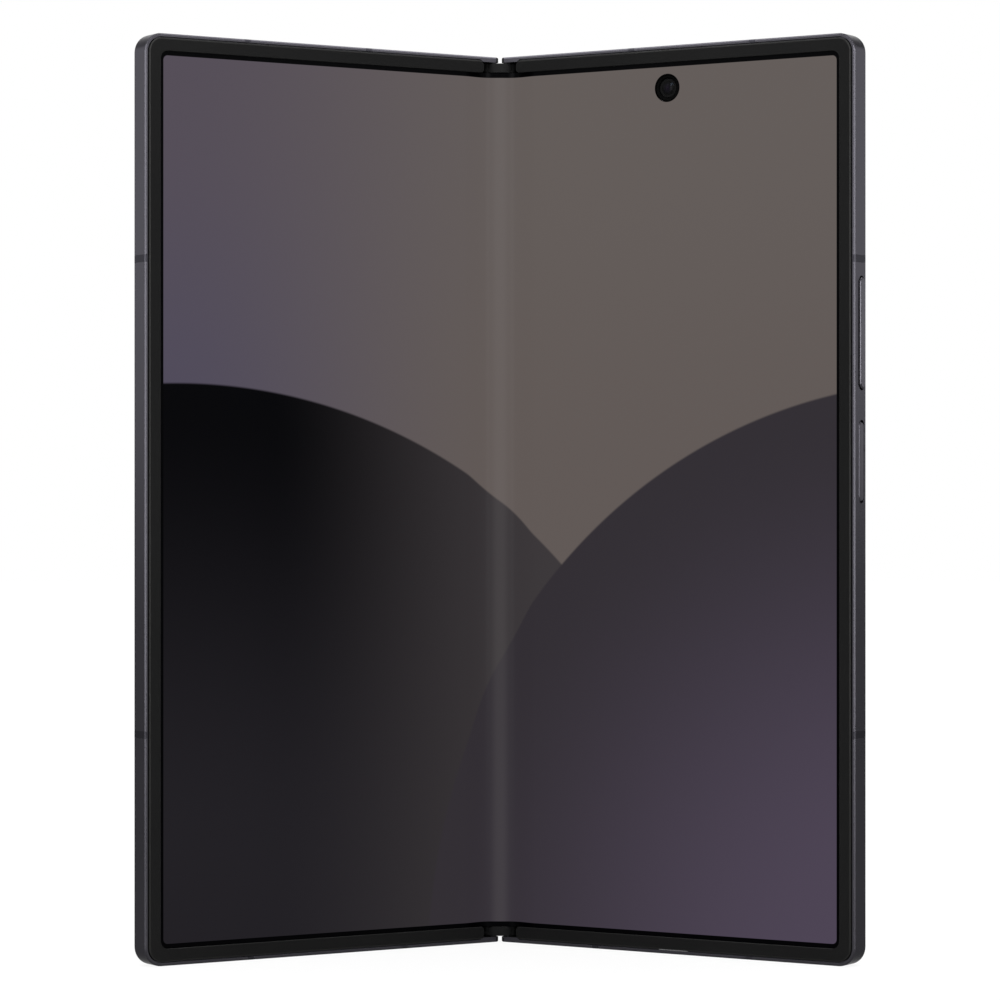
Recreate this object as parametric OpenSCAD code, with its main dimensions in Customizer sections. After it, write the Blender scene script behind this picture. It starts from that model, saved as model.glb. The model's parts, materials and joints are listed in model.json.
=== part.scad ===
// Book-style foldable smartphone, half open and standing on its lower edges.
// Millimetres. +Z runs up along the hinge, the inner screen faces -Y.
// The origin is on the ground, under the middle of the bounding box.
//
// Each half is drawn flat first, in its own frame: s runs from the hinge line outwards,
// t runs from the screen's front plane to the back, z runs up. place_right() and
// place_left() then turn the half about its own shaft to the pose that is shown.

/* [Body] */
// Height along the hinge
height = 158.4; // [150:0.1:166]
// Width of one half, from the hinge line to its outer side
half_w = 71.6; // [68:0.1:76]
// Thickness of one half
thick = 4.2; // [4.2:0.05:4.8]
// Radius of the outer corners, seen on the screen
corner_r = 3.2; // [3.1:0.1:5]
// Chamfer along the metal edges
chamfer = 0.25; // [0.15:0.05:0.4]
// Angle between the two screens in the pose shown
open_angle = 116; // [100:1:150]

/* [Hinge] */
// Distance of each shaft from the hinge line
shaft_s = 2.0; // [1.9:0.05:2.1]
// Depth of each shaft behind the screen's front plane
shaft_t = 1.75; // [1.7:0.01:1.8]
// Radius of the hinge cover about each shaft
cover_r = 1.5; // [1.45:0.01:1.55]
// Half of the width of screen that bends
fold_half = 8; // [7.5:0.1:8]
// Height of the lower hinge mechanism above the base
station_z = 28; // [22:1:34]

/* [Gears] */
// Teeth on each shaft gear, an even number
main_teeth = 14; // [12, 14, 16]
// Teeth on each idler gear, an odd number
idler_teeth = 9; // [7, 9]
// Play between meshing teeth
backlash = 0.04; // [0.03:0.005:0.05]

/* [Screen] */
// Width of the raised plastic edge round the screen
bezel_w = 2.2; // [2:0.05:2.4]
// How far that edge stands above the screen
bezel_h = 0.2; // [0.15:0.01:0.22]
// Inner camera, distance from the hinge line
inner_cam_s = 35.1; // [34:0.1:38]
// Inner camera, distance below the top edge
inner_cam_drop = 7.4; // [7:0.1:8]
// Diameter of the inner camera's hole in the screen
inner_cam_d = 4.8; // [4:0.1:5]

/* [Keys] */
// Height of the volume key's middle above the mid line
volume_z = 28.3; // [26:0.1:29]
// Length of the volume key
volume_len = 18.9; // [17:0.1:20]
// How far the volume key stands out of the side
volume_proud = 0.35; // [0.2:0.05:0.5]
// Height of the side key's middle above the mid line
side_key_z = 6.45; // [5:0.05:7]
// Length of the side key
side_key_len = 13.6; // [12:0.1:14]

/* [Rear camera] */
// Width of the raised island
island_w = 19; // [18:0.5:20]
// Height of the raised island
island_h = 54; // [52:0.5:56]
// How far the island stands out of the back
island_t = 1.7; // [1.2:0.1:2.2]
// Distance between neighbouring lenses
lens_pitch = 17.4; // [17:0.1:18]

/* [Hidden] */
$fn = 48;

// pose
fold = (180 - open_angle) / 2;
mid_z = height / 2;
end_s = 0.35;
front_y = shaft_t - (half_w - chamfer - shaft_s) * sin(fold) - shaft_t * cos(fold);
back_y = shaft_t + (shaft_s - end_s - chamfer) * sin(fold) + (thick - shaft_t) * cos(fold);
middle_y = -(front_y + back_y) / 2;

// section of the metal edge: u is the distance from the outline, minus inwards
rail_w = 2.0;
lip_w = 0.58;
glass_seat_w = 0.9;
glass_t = 0.48;
bezel_foot_t = 0.55;
bezel_gap = 0.17;
glass_gap = 0.06;
end_rail = 0.95;
end_front_s = 0.96;
end_round_r = 0.45;
bezel_end_s = 4.2;
bezel_end_r = 1.0;
bezel_end_inner_r = 0.7;
spine_room_s = 4.6;

// layers behind the screen
screen_t = 0.35;
plate_t = 0.25;
chassis_t0 = screen_t + plate_t;
chassis_t1 = 1.2;
screen_edge_s = half_w - rail_w - 0.05;
screen_edge_z = rail_w + 0.3;
screen_r = corner_r - 2.2;
fold_edge_z = 2.9;
hinge_bar_s = 8.8;
hinge_bar_t = 2.85;
hinge_bar_w = 0.6;
glass_t0 = thick - glass_t;
glass_s0 = 3.0;
panel_s0 = 5.4;
panel_t0 = glass_t0 - 0.35;
seat_u = -(glass_seat_w + glass_gap);

// spine
cover_wall = 0.22;
cover_end_z = 1.15;
cap_t = 1.65;
cap_z0 = 1.15;
shaft_r = 0.5;
running = 0.03;
knuckle_r = 1.15;
idler_pin_r = 0.25;
window_angle = 48;
rib_z = [[-5.1, -3.5], [1.6, 3.2]];
knuckle_z = [-3.4, -0.6];
gear_z = [-0.5, 1.5];
washer_z = 3.2;
washer_count = 3;
washer_pitch = 0.38;
bracket_screw_s = 6.5;
bracket_screw_z = 4.6;
stations = [station_z, height - station_z];
flex_z = [mid_z - 18, mid_z + 18];
flex_w = 12;

// antenna breaks
break_w = 1.2;
side_breaks = [mid_z - 39.9, mid_z + 40.9];
top_breaks = [27.8, half_w - 19.8];
bottom_breaks = [20.5, half_w - 20.4];

// keys
key_w = 1.8;
key_t = 2.5;
key_gap_w = 0.1;
key_gap_len = 0.28;
side_key_proud = 0.04;
key_back_s = half_w - rail_w;
volume_pivot_s = key_back_s - 0.5;
switch_s = half_w - 3.35;
switch_h = 0.4;
switch_pitch = 5.5;
key_chamfer = 0.2;
side_travel = 0.2;
rock_travel = 0.1;
pivot_r = 0.35;

// inside the halves
bay_s0 = 10.4;
bay_s1 = half_w - 4.8;
left_bay_z = [14, height - 46.4];
right_bay_z = [18, height - 70.4];
board_t0 = 1.6;
board_t1 = 2.2;
can_t1 = 3.2;
battery_t1 = 3.25;
coil_z = 54;
magnet_z = [24, 46];
usb_s = half_w / 2 + 0.2;
usb_open_w = 8.34;
usb_open_t = 2.56;
usb_wall = 0.28;
usb_t = chassis_t0 + usb_open_t / 2 + usb_wall;
usb_depth = 7.3;
tray_s0 = 11.5;
tray_w = 14;
tray_t0 = 1.5;
tray_t1 = 3.0;
tray_leaf_t = [1.9, 2.6];
tray_len = 27;
island_s = half_w - 14.6;
island_z = height - 36;
lens_r = 5.4;
ring_r = 6.9;
cover_cam_s = half_w / 2 + 1;
cover_cam_drop = 7.6;
cover_cam_r = 1.9;
ear_len = 12;

body_color = [0.19, 0.19, 0.21];
dark_color = [0.05, 0.05, 0.055];
bezel_color = [0.10, 0.10, 0.10];
screen_color = [0.30, 0.27, 0.32];
steel_color = [0.62, 0.62, 0.64];
glass_color = [0.08, 0.08, 0.09];

// ---------------------------------------------------------------- places

// Turns a half, drawn flat in (s, t, z), about the right shaft
module place_right() {
  translate([shaft_s, middle_y + shaft_t, 0])
    rotate([0, 0, -fold])
      translate([-shaft_s, -shaft_t, 0])
        children();
}

module place_left() {
  mirror([1, 0, 0]) place_right() children();
}

// The spine is drawn in (x, t, z) about the hinge line
module place_spine() {
  translate([0, middle_y, 0]) children();
}

// ---------------------------------------------------------------- shared forms

// A shape drawn in (s, z), thickened from depth t0 to t1
module layer(t0, t1) {
  rotate([90, 0, 0]) translate([0, 0, -t1]) linear_extrude(t1 - t0) children();
}

module rounded_rect(s0, z0, s1, z1, r) {
  translate([s0 + r, z0]) square([s1 - s0 - 2 * r, z1 - z0]);
  translate([s0, z0 + r]) square([s1 - s0, z1 - z0 - 2 * r]);
  for (s = [s0 + r, s1 - r], z = [z0 + r, z1 - r]) translate([s, z]) circle(r);
}

// A plate whose two outer corners are round and whose hinge side is square
module half_plate(s0, inset, r) {
  s1 = half_w - inset;
  translate([s0, inset]) square([s1 - s0 - r, height - 2 * inset]);
  translate([s0, inset + r]) square([s1 - s0, height - 2 * inset - 2 * r]);
  for (z = [inset + r, height - inset - r]) translate([s1 - r, z]) circle(r);
}

// Runs a section [u, t] along the bottom, round the outer side and along the top of a half
module edge_sweep(section, s0) {
  run = half_w - corner_r - s0;
  swapped = [for (p = section) [p[1], p[0]]];
  flipped = [for (p = section) [p[1], -p[0]]];
  turned = [for (p = section) [corner_r + p[0], -p[1]]];
  translate([half_w, 0, corner_r]) linear_extrude(height - 2 * corner_r) polygon(section);
  translate([s0, 0, height]) rotate([90, 0, 90]) linear_extrude(run) polygon(swapped);
  translate([s0, 0, 0]) rotate([90, 0, 90]) linear_extrude(run) polygon(flipped);
  translate([half_w - corner_r, 0, height - corner_r])
    rotate([90, 0, 0]) rotate_extrude(angle = 90) polygon(turned);
  translate([half_w - corner_r, 0, corner_r])
    rotate([90, 0, 0]) rotate([0, 0, -90]) rotate_extrude(angle = 90) polygon(turned);
}

// A bar with round ends, pointing out of the side, whose outer edge is chamfered
module key_face(z, len, w, s0, s1) {
  r = w / 2;
  profile = [[0, 0], [r, 0], [r, s1 - s0 - key_chamfer], [r - key_chamfer, s1 - s0], [0, s1 - s0]];
  translate([s0, key_t, z]) rotate([0, 90, 0]) {
    for (d = [-1, 1]) translate([d * (len / 2 - r), 0, 0]) rotate_extrude() polygon(profile);
    translate([-(len / 2 - r), 0, 0]) rotate([90, 0, 90]) linear_extrude(len - 2 * r)
      polygon(concat(profile, [for (i = [3, 2, 1]) [-profile[i][0], profile[i][1]]]));
  }
}

// A slot with round ends through the outer side, long axis upwards
module side_slot(z, len, w, s0, s1) {
  r = w / 2;
  translate([s0, key_t, z]) rotate([0, 90, 0]) {
    for (d = [-1, 1]) translate([d * (len / 2 - r), 0, 0]) cylinder(h = s1 - s0, r = r);
    translate([-(len / 2 - r), -r, 0]) cube([len - 2 * r, w, s1 - s0]);
  }
}

// The opening in the side that one key runs in
module key_slot(z, len) {
  side_slot(mid_z + z, len + 2 * key_gap_len, key_w + 2 * key_gap_w, key_back_s - 1, half_w + 1);
}

// A rounded tube opening, long axis along s, in the plane z
module port_shape(w, t) {
  r = t / 2;
  for (d = [-1, 1]) translate([d * (w / 2 - r), 0]) circle(r);
  square([w - 2 * r, t], center = true);
}

// ---------------------------------------------------------------- metal frame

rail_section = [
  [-lip_w, 0], [-chamfer, 0], [0, chamfer],
  [0, thick - chamfer], [-chamfer, thick], [-glass_seat_w, thick],
  [-glass_seat_w, glass_t0], [-rail_w, glass_t0],
  [-rail_w, bezel_foot_t], [-lip_w, bezel_foot_t]
];
end_section = [
  [-end_rail, 0], [-chamfer, 0], [0, chamfer],
  [0, thick - chamfer], [-chamfer, thick], [-end_rail, thick]
];
// Outline of the end rails over the spine, in (s, t)
end_outline = [
  [end_front_s + chamfer, 0], [end_front_s, chamfer], [end_front_s - 0.06, 1.5],
  [end_s, thick - 0.7], [end_s, thick - chamfer], [end_s + chamfer, thick],
  [spine_room_s + 0.2, thick], [spine_room_s + 0.2, 0]
];
// Section of the rail along the hinge side, in (s, t)
hinge_rail = [
  [end_s, thick - 0.78], [end_s, thick - chamfer], [end_s + chamfer, thick],
  [glass_s0, thick], [glass_s0, glass_t0], [panel_s0 - 0.2, glass_t0],
  [panel_s0 - 0.2, panel_t0 - 0.02], [hinge_bar_s, panel_t0 - 0.02],
  [hinge_bar_s, chassis_t0], [hinge_bar_s - hinge_bar_w, chassis_t0],
  [hinge_bar_s - hinge_bar_w, hinge_bar_t], [spine_room_s, hinge_bar_t],
  [spine_room_s, thick - 0.78]
];

// Takes the sharp corner off a rail's end: starts at (s, t), runs back for len, turned by a
module end_round(s, t, len, a) {
  r = end_round_r;
  translate([s, t, 0]) rotate([0, 0, a]) translate([-1, 0, -1]) difference() {
    cube([1 + r, len, 1 + r]);
    translate([1 + r, -1, 1 + r]) rotate([-90, 0, 0]) cylinder(h = len + 2, r = r);
  }
}

// Round end of the seat in which the screen's raised edge lies
module bezel_seat_end() {
  r = bezel_end_r + 0.15;
  translate([bezel_end_s - 0.15, bezel_foot_t, lip_w]) rotate([90, 0, 0])
    linear_extrude(bezel_foot_t + 1) difference() {
      square([2, 1]);
      difference() {
        translate([-1, -1]) square([1 + r, 1 + r]);
        translate([r, r]) circle(r);
      }
    }
}

module end_rails() {
  slant_s = end_front_s - 0.06;
  slant_a = atan((slant_s - end_s) / (thick - 2.2));
  for (flip = [0, 1]) translate([0, 0, flip * height]) mirror([0, 0, flip]) difference() {
    intersection() {
      rotate([90, 0, 90]) linear_extrude(spine_room_s + 0.2)
        polygon([for (p = end_section) [p[1], -p[0]]]);
      linear_extrude(end_rail) polygon(end_outline);
    }
    bezel_seat_end();
    end_round(end_front_s, -1, 2.4, 0);
    end_round(slant_s, 1.5, (thick - 2.2) / cos(slant_a), slant_a);
    end_round(end_s, thick - 0.8, 2, 0);
  }
}

module frame_blank() {
  edge_sweep(rail_section, spine_room_s);
  end_rails();
  translate([0, 0, end_rail]) linear_extrude(height - 2 * end_rail) polygon(hinge_rail);
  layer(chassis_t0, chassis_t1)
    translate([hinge_bar_s - 0.3, rail_w - 0.1])
      square([half_w - rail_w + 0.1 - hinge_bar_s + 0.3, height - 2 * rail_w + 0.2]);
}

// Low walls round a battery bay, standing on the chassis
module bay_walls(bay) {
  wall = 0.6;
  for (z = [bay[0] - wall - 0.2, bay[1] + 0.2])
    translate([hinge_bar_s - 0.1, chassis_t1 - 0.05, z])
      cube([bay_s1 - hinge_bar_s + 0.9, 2.0, wall]);
}

// Round seats for the boards, with a screw hole in each
module bosses(places) {
  for (p = places) translate([p[0], chassis_t1 - 0.1, p[1]]) rotate([-90, 0, 0])
    cylinder(h = board_t0 - chassis_t1 + 0.1, r = 1.3);
}

module boss_holes(places) {
  for (p = places) translate([p[0], chassis_t0 + 0.1, p[1]]) rotate([-90, 0, 0])
    cylinder(h = 2, r = 0.5);
}

// The gaps in the metal that the plastic breaks fill
module break_cuts(depth = rail_w) {
  for (z = side_breaks)
    translate([half_w - depth, -1, z - break_w / 2]) cube([depth + 1, thick + 2, break_w]);
  for (s = top_breaks)
    translate([s - break_w / 2, -1, height - depth]) cube([break_w, thick + 2, depth + 1]);
  for (s = bottom_breaks)
    translate([s - break_w / 2, -1, -1]) cube([break_w, thick + 2, depth + 1]);
}

module breaks() {
  intersection() {
    edge_sweep(rail_section, spine_room_s);
    break_cuts();
  }
}

// Notches in the hinge-side wall for the ribbon cables
module flex_notches() {
  for (z = flex_z)
    translate([hinge_bar_s - 1.2, 1.25, z - flex_w / 2 - 0.4]) cube([2, 0.7, flex_w + 0.8]);
}

// Seats for the hinge brackets, with tapped holes
module bracket_holes() {
  for (z = stations, d = [-bracket_screw_z, bracket_screw_z])
    translate([bracket_screw_s, hinge_bar_t - 0.2, z + d]) rotate([-90, 0, 0])
      cylinder(h = 0.65, r = 0.35);
}

main_board_z = [right_bay_z[1] + 2.5, height - 12.9];
left_board_z = [left_bay_z[1] + 2.5, height - 12.4];
main_board_s1 = 45.8;
left_board_s0 = 28.5;
right_bosses = [for (s = [bay_s0 + 2.6, main_board_s1 - 2.3], z = main_board_z + [2.5, -2.5]) [s, z]];
left_bosses = [for (s = [left_board_s0 + 2.5, bay_s1 - 2.8], z = left_board_z + [3.5, -2.5]) [s, z]];
speaker_holes = [for (i = [0:5]) bottom_breaks[1] - 4.6 + i * 1.9 + (i > 2 ? 0.6 : 0)];
top_speaker_holes = [13, 15.2, 17.4, 19.6];
microphone_s = [28.2, 33];

module right_frame() {
  color(body_color) place_right() difference() {
    union() {
      frame_blank();
      bay_walls(right_bay_z);
      bosses(right_bosses);
    }
    break_cuts();
    flex_notches();
    bracket_holes();
    boss_holes(right_bosses);
    key_slot(volume_z, volume_len);
    key_slot(side_key_z, side_key_len);
    translate([inner_cam_s, 0, height - inner_cam_drop]) rotate([-90, 0, 0])
      cylinder(h = 3, r = inner_cam_d / 2 + 0.05);
    translate([usb_s, usb_t, -1]) linear_extrude(usb_depth + 1.5)
      port_shape(usb_open_w + 2 * usb_wall + 0.1, usb_open_t + 2 * usb_wall + 0.1);
    for (s = speaker_holes) translate([s, thick / 2, -1]) cylinder(h = 4, r = 0.5);
    for (s = top_speaker_holes) translate([s, thick / 2, height - 3]) cylinder(h = 4, r = 0.5);
    translate([microphone_s[0], thick / 2, -1]) cylinder(h = 4, r = 0.4);
    translate([microphone_s[1], thick / 2, height - 3]) cylinder(h = 4, r = 0.4);
  }
}

module left_frame() {
  color(body_color) place_left() difference() {
    union() {
      frame_blank();
      bay_walls(left_bay_z);
      bosses(left_bosses);
    }
    break_cuts();
    flex_notches();
    bracket_holes();
    boss_holes(left_bosses);
    translate([tray_s0 - 0.08, tray_t0 - 0.08, height - tray_len - 1])
      cube([tray_w + 0.16, tray_t1 - tray_t0 + 0.16, tray_len + 2]);
    translate([cover_cam_s - ear_len / 2 + 0.5, 2.6, height - rail_w - 0.5])
      cube([ear_len - 1, 1.4, 1.5]);
  }
}

module left_breaks() {
  color(dark_color) place_left() breaks();
}

module right_breaks() {
  color(dark_color) place_right() breaks();
}

// ---------------------------------------------------------------- screen side

bezel_u1 = -(lip_w + bezel_gap);
bezel_u0 = bezel_u1 - bezel_w;
bezel_round = 0.08;
bezel_slope_w = 0.25;
bezel_slope_h = 0.12;
bezel_corner_r = 1.3;
bezel_section = [
  [bezel_u0, 0], [bezel_u0, -bezel_h + bezel_round], [bezel_u0 + bezel_round, -bezel_h],
  [bezel_u1 - bezel_slope_w, -bezel_h], [bezel_u1, -bezel_h + bezel_slope_h],
  [bezel_u1, bezel_foot_t], [-rail_w + 0.02, bezel_foot_t], [-rail_w + 0.02, 0]
];

// Rounds the two outer corners of the opening in the raised edge
module bezel_corners() {
  r = bezel_corner_r;
  layer(-bezel_h, 0) for (flip = [0, 1])
    translate([half_w + bezel_u0 - r, flip * height]) mirror([0, flip])
      translate([0, -bezel_u0]) difference() {
        translate([0, -0.3]) square([r + 0.3, r + 0.3]);
        translate([0, r]) circle(r);
      }
}

// Raised edge on three sides of the screen, with round ends at the hinge
module bezel() {
  low = -bezel_u1;
  intersection() {
    edge_sweep(bezel_section, bezel_end_s);
    layer(-1, 2) difference() {
      translate([bezel_end_s, 0]) square([half_w, height]);
      for (flip = [0, 1], end = [0, 1]) {
        z = end == 0 ? low : low + bezel_w;
        d = end == 0 ? 1 : -1;
        r = end == 0 ? bezel_end_r : bezel_end_inner_r;
        translate([0, flip * height]) mirror([0, flip]) difference() {
          translate([bezel_end_s - 1, end == 0 ? z - 1 : z - r]) square([1 + r, 1 + r]);
          translate([bezel_end_s + r, z + d * r]) circle(r);
        }
      }
    }
  }
  bezel_corners();
}

module left_bezel() {
  color(bezel_color) place_left() bezel();
}

module right_bezel() {
  color(bezel_color) place_right() bezel();
}

module screen_outline(s0) {
  rounded_rect(s0, screen_edge_z, screen_edge_s, height - screen_edge_z, screen_r);
  translate([s0, screen_edge_z]) square([2, height - 2 * screen_edge_z]);
}

module camera_hole() {
  translate([inner_cam_s, height - inner_cam_drop]) circle(inner_cam_d / 2);
}

module left_display() {
  color(screen_color) place_left() layer(0, screen_t) screen_outline(fold_half);
}

module right_display() {
  color(screen_color) place_right() layer(0, screen_t) difference() {
    screen_outline(fold_half);
    camera_hole();
  }
}

module left_plate() {
  color(steel_color) place_left() layer(screen_t, chassis_t0) screen_outline(fold_half + 0.1);
}

module right_plate() {
  color(steel_color) place_right() layer(screen_t, chassis_t0) difference() {
    screen_outline(fold_half + 0.1);
    camera_hole();
  }
}

// A point of the bending strip: it turns more and more with the half, the further out it is
function ease(f) = let (x = max(0, min(1, f))) x * x * (3 - 2 * x);
function bent(s, t) =
  let (
    a = fold * ease(abs(s) / fold_half),
    x = shaft_s + (abs(s) - shaft_s) * cos(a) + (t - shaft_t) * sin(a),
    y = shaft_t - (abs(s) - shaft_s) * sin(a) + (t - shaft_t) * cos(a)
  ) [s < 0 ? -x : x, y];
fold_steps = 16;
function bent_line(t, reach) =
  [for (i = [-fold_steps:fold_steps]) bent(i / fold_steps * reach, t)];
function backwards(list) = [for (i = [len(list) - 1:-1:0]) list[i]];

module bent_sheet(t0, t1, reach) {
  polygon(concat(bent_line(t0, reach), backwards(bent_line(t1, reach))));
}

module fold_strip() {
  color(screen_color) place_spine() translate([0, 0, fold_edge_z])
    linear_extrude(height - 2 * fold_edge_z) bent_sheet(0, screen_t, fold_half);
}

// Slotted support behind the bending part of the screen
module fold_lattice() {
  slot_len = 7;
  slot_w = 0.5;
  pitch_z = 8.6;
  columns = [-3, -1.5, 0, 1.5, 3];
  color(steel_color) place_spine() difference() {
    translate([0, 0, fold_edge_z])
      linear_extrude(height - 2 * fold_edge_z) bent_sheet(screen_t, screen_t + 0.15, fold_half);
    for (i = [0:len(columns) - 1], z = [fold_edge_z + 5:pitch_z:height - fold_edge_z - 14])
      translate([columns[i] - slot_w / 2, -1, z + (i % 2) * pitch_z / 2])
        cube([slot_w, 3, slot_len]);
  }
}

// Ribbon cables that join the two halves' boards
function flex_line(t) = [
  for (i = [-12:12])
    let (s = i / 12 * 9.6, dip = ease(abs(s) / 7.6)) bent(s, t + 0.95 * dip)
];

module hinge_flex() {
  color([0.55, 0.35, 0.12]) place_spine() for (z = flex_z)
    translate([0, 0, z - flex_w / 2]) linear_extrude(flex_w)
      polygon(concat(flex_line(0.62), backwards(flex_line(0.74))));
}

// ---------------------------------------------------------------- spine

// Both shafts' circles and the space between them, in (x, t)
module stadium(r, front, back) {
  for (d = [-1, 1]) translate([d * shaft_s, shaft_t]) circle(r);
  translate([-shaft_s, front]) square([2 * shaft_s, back - front]);
}

module spine_cover() {
  inner_r = cover_r - cover_wall;
  color(body_color) place_spine() difference() {
    translate([0, 0, cover_end_z]) linear_extrude(height - 2 * cover_end_z) difference() {
      stadium(cover_r, shaft_t, shaft_t + cover_r);
      stadium(inner_r, -1, shaft_t + inner_r);
      translate([-5, shaft_t - 3]) square([10, 3 - 0.3]);
    }
    for (z = stations, d = [-1, 1])
      translate([d * shaft_s, shaft_t, z + knuckle_z[0] - 0.3])
        rotate([0, 0, d > 0 ? -60 : 180 - window_angle]) rotate_extrude(angle = 60 + window_angle)
          translate([0.9, 0]) square([1, knuckle_z[1] - knuckle_z[0] + 0.6]);
  }
}

// End pieces that close the spine, with a shallow crowned face towards the screen
module end_caps() {
  inner_r = cover_r - cover_wall - 0.02;
  face_half = 2.7;
  crown_r = 3.6;
  color([0.13, 0.13, 0.13]) place_spine() for (z = [cap_z0, height - cap_z0 - cap_t])
    translate([0, 0, z]) linear_extrude(cap_t) {
      stadium(inner_r, 0.35, shaft_t + inner_r);
      intersection() {
        translate([0, crown_r - bezel_h]) circle(crown_r, $fn = 360);
        union() {
          translate([-face_half + 0.4, -1]) square([2 * face_half - 0.8, 2.5]);
          translate([-face_half, 0.35]) square([2 * face_half, 1.1]);
          for (d = [-1, 1]) translate([d * (face_half - 0.4), 0.35]) circle(0.4);
        }
      }
    }
}

module spine_frame() {
  web = [1.7, 1.9, shaft_t + 1.25];
  rib_r = 1.2;
  color(steel_color) place_spine() difference() {
    union() {
      translate([-web[0], web[1], cap_z0 + cap_t])
        cube([2 * web[0], web[2] - web[1], height - 2 * (cap_z0 + cap_t)]);
      for (z = stations, span = rib_z)
        translate([0, 0, z + span[0]]) linear_extrude(span[1] - span[0])
          stadium(rib_r, shaft_t - rib_r + 0.2, shaft_t + rib_r);
    }
    for (z = stations, d = [-1, 1]) {
      translate([d * shaft_s, shaft_t, z - 6]) cylinder(h = 14, r = shaft_r + running);
      translate([d * shaft_s, shaft_t, z + rib_z[0][0] - 1]) cylinder(h = 1, r = knuckle_r + 0.1);
      translate([d * shaft_s, shaft_t, z + rib_z[0][1]])
        cylinder(h = rib_z[1][0] - rib_z[0][1], r = knuckle_r + 0.1);
      translate([d * shaft_s, shaft_t, z + rib_z[1][1]]) cylinder(h = 2.2, r = knuckle_r + 0.1);
      translate([d * idler_s, shaft_t, z + gear_z[0] - 0.1])
        cylinder(h = gear_z[1] - gear_z[0] + 0.2, r = 0.8);
      translate([d * idler_s, shaft_t, z - 6]) cylinder(h = 12, r = idler_pin_r);
    }
  }
}

// ---------------------------------------------------------------- gears and shafts

// The four gears fill the distance between the two shafts
gear_module = shaft_s / (main_teeth / 2 + idler_teeth);
idler_s = gear_module * idler_teeth / 2;
pressure = 25;
function involute(a) = tan(a) * 180 / PI - a;
function half_tooth(n, r) =
  let (
    pitch_r = gear_module * n / 2,
    at_pitch = (PI * gear_module / 4 - backlash / 2) / pitch_r * 180 / PI
  ) at_pitch + involute(pressure) - involute(acos(min(1, pitch_r * cos(pressure) / r)));
function flank(n) =
  let (
    pitch_r = gear_module * n / 2,
    base = pitch_r * cos(pressure),
    tip = pitch_r + 0.8 * gear_module,
    root = pitch_r - 1.05 * gear_module
  ) [
    [root, half_tooth(n, base)], [base, half_tooth(n, base)],
    [(base + tip) / 2, half_tooth(n, (base + tip) / 2)], [tip, half_tooth(n, tip)]
  ];
function gear_outline(n) = [
  for (i = [0:n - 1], side = [-1, 1], p = side < 0 ? flank(n) : backwards(flank(n)))
    p[0] * [cos(i * 360 / n + side * p[1]), sin(i * 360 / n + side * p[1])]
];

// One gear at each mechanism, centred at x on the line of shafts
module gear_set(n, x, bore, turn) {
  place_spine() for (z = stations)
    translate([x, shaft_t, z + gear_z[0]]) linear_extrude(gear_z[1] - gear_z[0]) difference() {
      rotate(turn) polygon(gear_outline(n));
      circle(bore);
    }
}

module left_gears() {
  color("goldenrod") gear_set(main_teeth, -shaft_s, shaft_r, 0);
}

module right_gears() {
  color("goldenrod") gear_set(main_teeth, shaft_s, shaft_r, 180 / main_teeth);
}

module left_idlers() {
  color("khaki") gear_set(idler_teeth, -idler_s, idler_pin_r + running, 0);
}

module right_idlers() {
  color("khaki") gear_set(idler_teeth, idler_s, idler_pin_r + running, 0);
}

module idler_pins() {
  color(steel_color) place_spine() for (z = stations, d = [-1, 1])
    translate([d * idler_s, shaft_t, z + rib_z[0][0]])
      cylinder(h = rib_z[1][1] - rib_z[0][0], r = idler_pin_r);
}

// Headed shafts, held at the other end by a nut on the washers
module shaft_set(x) {
  nut_z = washer_z + washer_count * washer_pitch;
  place_spine() for (z = stations) translate([x, shaft_t, z]) {
    translate([0, 0, rib_z[0][0] - 0.1]) cylinder(h = nut_z + 0.5 - rib_z[0][0], r = shaft_r);
    translate([0, 0, rib_z[0][0] - 0.7]) cylinder(h = 0.6, r = 0.9);
    translate([0, 0, nut_z]) cylinder(h = 0.6, r = 0.95, $fn = 6);
  }
}

module left_shafts() {
  color(steel_color) shaft_set(-shaft_s);
}

module right_shafts() {
  color(steel_color) shaft_set(shaft_s);
}

// Conical spring washers that give the hinge its friction
module friction_washers() {
  bore = shaft_r + running;
  rim = 1.1;
  metal = 0.16;
  rise = 0.2;
  color("silver") place_spine() for (z = stations, d = [-1, 1], i = [0:washer_count - 1])
    translate([d * shaft_s, shaft_t, z + washer_z + i * washer_pitch + (i % 2) * (rise + metal)])
      mirror([0, 0, i % 2])
        rotate_extrude() polygon([[bore, rise], [bore, rise + metal], [rim, metal], [rim, 0]]);
}

// Arm outline of a hinge bracket, in (s, t)
module bracket_arm() {
  difference() {
    union() {
      translate([shaft_s, shaft_t]) circle(knuckle_r);
      polygon([
        [shaft_s + 0.86, shaft_t + 0.76], [spine_room_s, hinge_bar_t], [spine_room_s + 0.6, hinge_bar_t],
        [spine_room_s + 0.6, hinge_bar_t - 0.4], [spine_room_s - 0.1, hinge_bar_t - 0.4],
        [shaft_s + knuckle_r, shaft_t], [shaft_s, shaft_t]
      ]);
    }
    translate([shaft_s, shaft_t]) circle(shaft_r);
  }
}

module brackets() {
  foot = [hinge_bar_s - 0.65 - spine_room_s, 14];
  for (z = stations) difference() {
    union() {
      translate([0, 0, z + knuckle_z[0]]) linear_extrude(knuckle_z[1] - knuckle_z[0]) bracket_arm();
      layer(hinge_bar_t - 0.4, hinge_bar_t)
        rounded_rect(spine_room_s + 0.05, z - foot[1] / 2, spine_room_s + foot[0], z + foot[1] / 2, 0.8);
    }
    for (d = [-bracket_screw_z, bracket_screw_z])
      translate([bracket_screw_s, hinge_bar_t - 1, z + d]) rotate([-90, 0, 0]) cylinder(h = 2, r = 0.4);
  }
}

module left_brackets() {
  color(steel_color) place_left() brackets();
}

module right_brackets() {
  color(steel_color) place_right() brackets();
}

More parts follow.
